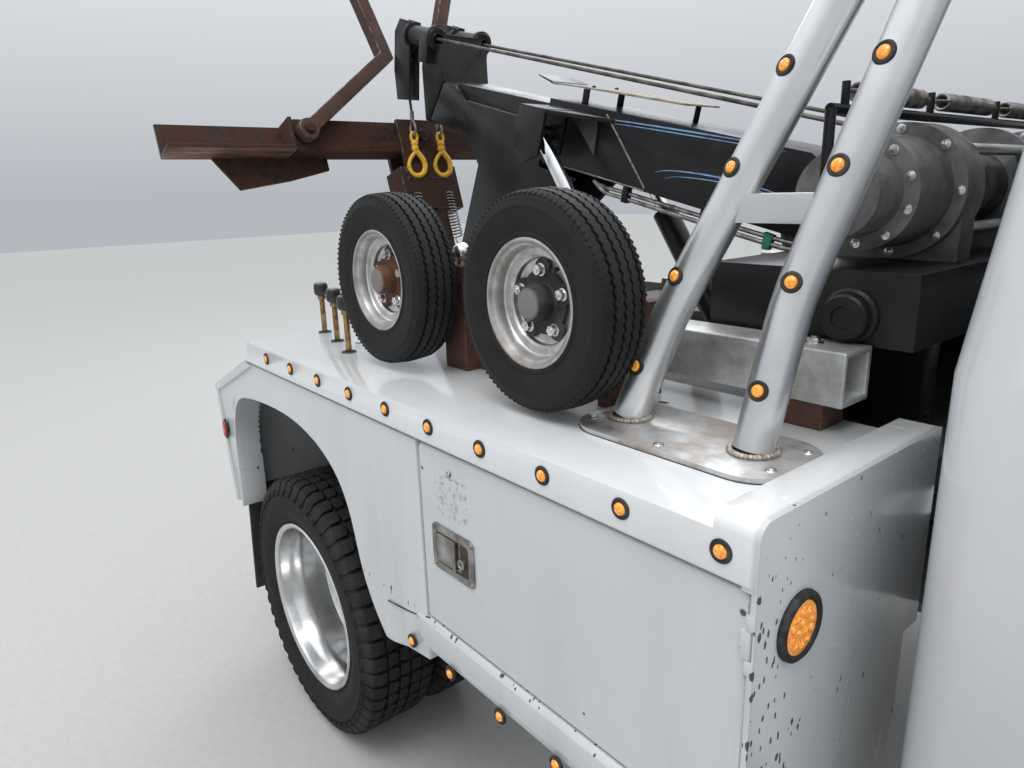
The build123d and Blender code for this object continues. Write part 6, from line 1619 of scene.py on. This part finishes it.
# Tow hooks: yellow self-locking swivel hooks, forged steel with paint chipped to dark metal. They hang on
# wire-rope thimbles under a pressed sleeve, and a coil spring rests beside each.
hook_yellow = Finish("hook_yellow", "black_paint", (0.78, 0.43, 0.03), 0.42, Coat_Weight=0.3).weather((60.0,
    5.0, EVEN, 0.7), (0.58, 0.72), (0.8, 0.45, 0.03), (0.24, 0.13, 0.05), (0.35, 0.35), (None, 0.3, 0.001))
for side, sign in (("right", -1.0), ("left", 1.0)):
    y = sign * HANG_Y
    thimble = bent("thimble", [at(HANG_X, y, 1.925), at(-1.026, y, 1.905), at(-1.033, y, 1.88),
        at(-1.022, y, 1.858), at(-1.008, y, 1.853), at(-0.992, y, 1.862), at(-0.985, y, 1.882),
        at(-0.994, y, 1.906)], 0.0052, True, True)
    sleeve = rod("sleeve", at(HANG_X, y, 1.96), at(HANG_X, y, 1.918), 0.0095, 20, 0.002)
    kept([thimble, sleeve], "thimble_" + side, spring_steel, "inner_boom", 50.0)
    parts = []
    top = at(-1.004, y, 1.86)
    lean = Vector((0.06, 0.0, -0.998)).normalized()
    flat = Vector((0.25, 0.97, 0.0)).normalized()
    through = lean.cross(flat).normalized()

    def on_hook(down, across, deep=0.0):
        return top + lean * down + flat * across + through * deep

    eye_ring = [on_hook(0.012 - 0.02 * math.cos(math.tau * step / 12),
        0.015 * math.sin(math.tau * step / 12)) for step in range(12)]
    parts.append(bent("eye", eye_ring, 0.0072, True, True))
    parts.append(spun("swivel", ((0.0, 0.026), (0.011, 0.026), (0.016, 0.031), (0.016, 0.043), (0.012, 0.047),
        (0.015, 0.05), (0.017, 0.062), (0.012, 0.07), (0.0, 0.07)), top, lean, 24))
    bowl = [(0.062, 0.0), (0.084, 0.014), (0.108, 0.034), (0.138, 0.042), (0.168, 0.032), (0.182, 0.006),
        (0.176, -0.02), (0.158, -0.035), (0.136, -0.037)]
    parts.append(bent("bowl", [on_hook(*spot) for spot in bowl], 0.012))
    gate = [(0.136, -0.037), (0.114, -0.032), (0.092, -0.016), (0.078, -0.002), (0.066, 0.002)]
    parts.append(bent("gate", [on_hook(*spot) for spot in gate], 0.0088))
    parts.append(rod("gate_pin", on_hook(0.08, -0.002, -0.0145), on_hook(0.08, -0.002, 0.0145), 0.006, 16))
    parts.append(rod("latch_stud", on_hook(0.136, -0.037, -0.0135), on_hook(0.136, -0.037, 0.0135), 0.008, 16))
    kept(parts, "swivel_hook_" + side, hook_yellow, "inner_boom", 50.0)
    spring = coil_spring("rest_spring", at(-0.985, sign * 0.086, 1.6), at(-0.915, sign * 0.086, 1.4), 0.0215,
        0.0032, 15)
    kept(spring, "hook_rest_spring_" + side, spring_steel, "inner_boom", 60.0)


# Wheel lift: stinger, cross bar and claws in heavy steel. The cross bar's scoop is scraped to orange bare
# metal where tyres rest, and the claws have lost most of their paint to brown rust.
rust_brown = Finish("claw_rust", "black_paint", (0.13, 0.06, 0.04), 0.75, 0.2)
broad = rust_brown.noise(6.0, 6.0, rough=0.65)
fine = rust_brown.noise(48.0, 5.0, rough=0.65)
base = rust_brown.mix(rust_brown.ramp(broad, 0.36, 0.66), (0.056, 0.029, 0.021), (0.1, 0.056, 0.04))
base = rust_brown.mix(rust_brown.ramp(fine, 0.52, 0.7), base, (0.045, 0.03, 0.025))
paint_left = rust_brown.ramp(broad + 0.3 * fine, 0.5, 0.44)
rust_brown.coat(rust_brown.mix(paint_left * 0.8, base, (0.022, 0.021, 0.021)), 0.55 + 0.3 * fine,
    (fine, 0.4, 0.0014))
scraped = Finish("scoop_scraped", "black_paint", (0.42, 0.21, 0.11), 0.55,
    0.4).weather((28.0, 5.0, (1.0, 0.15, 1.0), 0.65), (0.32, 0.66), (0.31, 0.19, 0.13), (0.08, 0.045, 0.031),
    (0.4, 0.35), (None, 0.3, 0.001))
scoop_rust = painted_steel("scoop_rust", "black_paint", (0.019, 0.011, 0.009), (0.054, 0.025, 0.016), 0.6, 0.46,
    dusty=0.05)
stinger_rust = painted_steel("stinger_rust", "black_paint", (0.017, 0.012, 0.01), (0.05, 0.024, 0.016), 0.5,
    0.44, dusty=0.05)
for dull in (rust_brown, scraped, scoop_rust, stinger_rust):
    dull.shine(LOW_SHINE)
shaped("stinger", stinger_rust, 0.004, gear_edge)
bar = shaped("crossbar", scoop_rust, 0.003, gear_edge)
coated_where(bar, lambda c: abs(c.y) > 1.085, gear_black)
bar.data.materials.append(scraped.material)
low = min(v.co.z for v in bar.data.vertices if abs(v.co.y) > 0.65)
for face in bar.data.polygons:
    if 0.605 < abs(face.center.y) < 1.1 and abs(face.normal.z) > 0.55 and face.center.z < low + 0.2:
        face.material_index = len(bar.data.materials) - 1
for side in ("left", "right"):
    shaped("claw_" + side, rust_brown, 0.004, gear_edge)


# Lift cylinders: black steel barrels that hold the wheel lift up, one each side. Their rods are hard chrome
# with a faint oily smear.
rod_chrome = Finish("rod_chrome", "bright_chrome", (0.78, 0.79, 0.8), 0.08, 1.0)
smear = rod_chrome.noise(16.0, 5.0, (3.0, 3.0, 0.4))
rod_chrome.coat(rod_chrome.mix(rod_chrome.ramp(smear, 0.5, 0.75), (0.8, 0.81, 0.82), (0.4, 0.36, 0.31)),
    0.06 + 0.2 * rod_chrome.ramp(smear, 0.4, 0.8), (rod_chrome.noise(300.0, 2.0), 0.05, 0.0004))
for side in ("left", "right"):
    shaped("lift_barrel_" + side, gear_black, 0.002, gear_edge)
    shaped("lift_rod_" + side, rod_chrome, 0.0015)


# Front fenders, hood, grille and headlamps: pressed white panels, a black slotted grille and sealed-beam
# lamps with chrome rings; the bumper is one chromed bar, pitted by stones along its lower edge.
fender_white = gloss_white("fender_white", low=0.6, grime=0.7, scuffs=0.4)
hood_white = gloss_white("hood_white", low=0.2, grime=0.3, scuffs=0.3)
fenders = shaped("front_fenders", fender_white, 0.005, None, 2, 26.0, 30.0)
coated_where(fenders, lambda c: (c.x - REAR_AXLE - FRONT_AXLE) ** 2 + (c.z - 0.43) ** 2 < 0.478 ** 2
    and abs(c.y) < 0.985, well_dirt)
shaped("hood", hood_white, 0.005, None, 2, 26.0, 30.0)
grille_black = Finish("grille_black", "black_plastic", (0.02, 0.02, 0.021), 0.42).weather((40.0, 5.0),
    (0.5, 0.72), (0.018, 0.018, 0.019), (0.09, 0.08, 0.07), (0.36, 0.3), ((280.0, 2.0), 0.2, 0.0006))
shaped("grille", grille_black, 0.004, None, 2)
bright = Finish("bumper_chrome", "bright_chrome", (0.78, 0.79, 0.8), 0.09, 1.0)
pits = bright.ramp(bright.spots(150.0), 0.14, 0.05) * bright.ramp(bright.along(2), 0.66, 0.5)
haze = bright.noise(8.0, 5.0)
bright.coat(bright.mix(pits, bright.mix(bright.ramp(haze, 0.4, 0.9), (0.8, 0.81, 0.82), (0.68, 0.68, 0.67)),
    (0.16, 0.09, 0.05)), 0.06 + 0.06 * haze + 0.4 * pits, (haze, 0.06, 0.002))
bumper = shaped("front_bumper", bright, 0.008, None, 3)
coated_where(bumper, lambda c: c.x - REAR_AXLE < 4.528, chassis_black)
reflector = Finish("lamp_reflector", "clear_glass", (0.75, 0.77, 0.78), 0.12, 0.9)
flutes = reflector.bands("Y", 38.0)
reflector.coat(reflector.mix(flutes, (0.58, 0.6, 0.61), (0.82, 0.84, 0.85)), 0.08 + 0.2 * flutes,
    (flutes, 0.4, 0.002))
shaped("headlamps", reflector, 0.006, None, 3)
rings = []
beams = []
for y in (0.665, 0.855):
    face = at(4.4925, y, 1.01)
    rings.append(spun("ring", ((0.066, -0.012), (0.09, -0.012), (0.092, -0.004), (0.09, 0.003), (0.085, 0.006),
        (0.078, 0.005), (0.072, 0.0), (0.069, -0.006)), face, FORWARD, 56))
    beams.append(spun("beam", ((0.0, -0.012), (0.07, -0.012), (0.07, -0.004), (0.06, 0.001), (0.035, 0.005),
        (0.0, 0.0065)), face, FORWARD, 48))
rings = kept(rings, "headlamp_rings_left", bright, "chassis")
beams = kept(beams, "headlamp_beams_left", reflector, "chassis")
strip = eased(end_plate("turn", 4.47, 0.59, 0.95, 0.915, 0.948, 0.024), 0.005, 2)
strip = kept(strip, "turn_lamp_left", amber_lens, "chassis")
mirrored((rings, beams, strip), "chassis")


# Side steps: pressed steel boards in chassis black under the doors. Rows of raised grip buttons are punched
# up along the tread and worn to bare metal.
shaped("side_steps", chassis_black, 0.003, chassis_edge)
grips = []
button = spun("button", ((0.0, 0.5445), (0.0125, 0.5445), (0.011, 0.547), (0.0075, 0.548), (0.006, 0.546),
    (0.0, 0.546)), at(2.06, 0.905, 0.0), UP, 16)
for row in range(3):
    for number in range(22):
        if row == 0 and number == 0:
            continue
        copy = copied(button)
        copy.location = Vector((0.04 * number, 0.032 * row, 0.0))
        grips.append(copy)
pair([button, *grips], "step_grips", chassis_edge, "chassis")


# Bench seat: a sprung base under foam, covered in woven grey cloth. Base and back are crowned by the stuffing
# and drawn in by piped seams and sewn channels; they sit on a black steel riser.
seat_cloth = Finish("seat_cloth", "seat_fabric", (0.16, 0.165, 0.18), 0.9)
weave_u = seat_cloth.bands("X", 170.0)
weave_v = seat_cloth.bands("Y", 170.0)
worn = seat_cloth.noise(5.0, 5.0)
seat_cloth.coat(seat_cloth.mix(seat_cloth.ramp(worn, 0.4, 0.7), (0.135, 0.14, 0.155), (0.21, 0.21, 0.215)),
    0.82 + 0.14 * worn, (weave_u * 0.5 + weave_v * 0.5, 0.35, 0.0012))


CHANNEL_PITCH = 0.12


def cushion(name, middle, size, lean, crown):
    """A stuffed block: subdivided, its faces pushed out by the stuffing and drawn in again at sewn channels."""
    deselect()
    bpy.ops.mesh.primitive_cube_add(size=1.0, location=middle, rotation=(0.0, lean, 0.0), scale=size)
    pad = bpy.context.object
    pad.name = name
    bpy.ops.object.transform_apply(location=False, rotation=False, scale=True)
    eased(pad, min(size) * 0.32, 4)
    changed(pad, "REMESH", mode="VOXEL", voxel_size=0.012)
    edit_all(pad)
    bpy.ops.mesh.vertices_smooth(factor=0.5, repeat=6)
    mode("OBJECT")
    half = Vector(size) / 2
    thin = min(range(3), key=lambda axis: size[axis])
    wide = 1
    other = 3 - thin - wide
    for corner in pad.data.vertices:
        p = corner.co
        u = p[wide] / half[wide]
        v = p[other] / half[other]
        rise = crown * (1.0 - min(1.0, abs(u)) ** 4) * (1.0 - min(1.0, abs(v)) ** 4)
        channel = abs((p[wide] / CHANNEL_PITCH + 0.5) % 1.0 - 0.5) * CHANNEL_PITCH
        sunk = 0.01 * math.exp(-(channel / 0.011) ** 2) * (1.0 if abs(v) < 0.72 else 0.0)
        seam = 0.008 * math.exp(-((abs(v) - 0.78) * half[other] / 0.01) ** 2)
        if abs(p[thin]) > half[thin] * 0.35:
            p[thin] += math.copysign(rise - sunk - seam, p[thin])
    take(pad)
    settle()
    return pad


base_pad = cushion("seat_base", at(2.115, 0.0, 1.215), (0.45, 1.43, 0.125), 0.0, 0.014)
back_pad = cushion("seat_back", at(1.868, 0.0, 1.5), (0.105, 1.43, 0.59), -0.205, 0.012)
base_pad = kept(base_pad, "seat_base_cushion", seat_cloth, "chassis", 60.0)
back_pad = kept(back_pad, "seat_back_cushion", seat_cloth, "chassis", 60.0)
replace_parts(base_pad, "bench_seat")


pipe_black = Finish("seat_piping", "seat_fabric", (0.03, 0.03, 0.032), 0.7)
pipe_black.coat(None, 0.6 + 0.3 * pipe_black.noise(80.0, 3.0), (pipe_black.noise(400.0, 2.0), 0.3, 0.0005))
line = [at(x, y, 1.258) for x, y in ((1.91, -0.69), (1.95, -0.708), (2.28, -0.708), (2.325, -0.68),
    (2.333, 0.0), (2.325, 0.68), (2.28, 0.708), (1.95, 0.708), (1.91, 0.69), (1.9, 0.0))]
kept(bent("piping", line, 0.0042, True, True), "seat_base_piping", pipe_black, "chassis", 60.0)
riser = side_plate("riser", 1.935, 2.275, -0.675, 1.008, 1.152, 1.35)
kept(eased(riser, 0.01, 2), "seat_riser", gear_black, "chassis")


# Dashboard and steering wheel: grained black plastic with a rounded lip, and a three-spoked wheel on its
# column. Five dark gauges stand in turned bezels before the driver.
dash_black = Finish("dash_plastic", "black_plastic", (0.035, 0.035, 0.037), 0.6)
leather = dash_black.spots(260.0)
dash_black.coat(dash_black.mix(dash_black.noise(4.0, 4.0), (0.028, 0.028, 0.03), (0.05, 0.049, 0.048)),
    0.5 + 0.25 * dash_black.noise(12.0, 4.0), (leather, 0.3, 0.0008))
shaped("dashboard", dash_black, 0.008, None, 3)
dial_white = Finish("dial_face", "black_plastic", (0.3, 0.3, 0.29), 0.4)
dial_white.coat(dial_white.mix(dial_white.ramp(dial_white.noise(180.0, 2.0), 0.45, 0.55), (0.03, 0.03, 0.03),
    (0.05, 0.05, 0.05)), 0.2 + 0.2 * dial_white.noise(40.0, 2.0))
gauges = []
for y, size in ((0.52, 0.042), (0.41, 0.052), (0.29, 0.042), (0.2, 0.028), (0.6, 0.028)):
    gauges.append(spun("bezel", ((0.0, 0.0), (size, 0.0), (size + 0.004, 0.003), (size + 0.002, 0.009),
        (size - 0.004, 0.01), (size - 0.006, 0.004), (0.0, 0.004)), at(2.8605, y, 1.3), -FORWARD, 36))
kept(gauges, "dash_gauges", dial_white, "chassis")

bpy.context.view_layer.update()
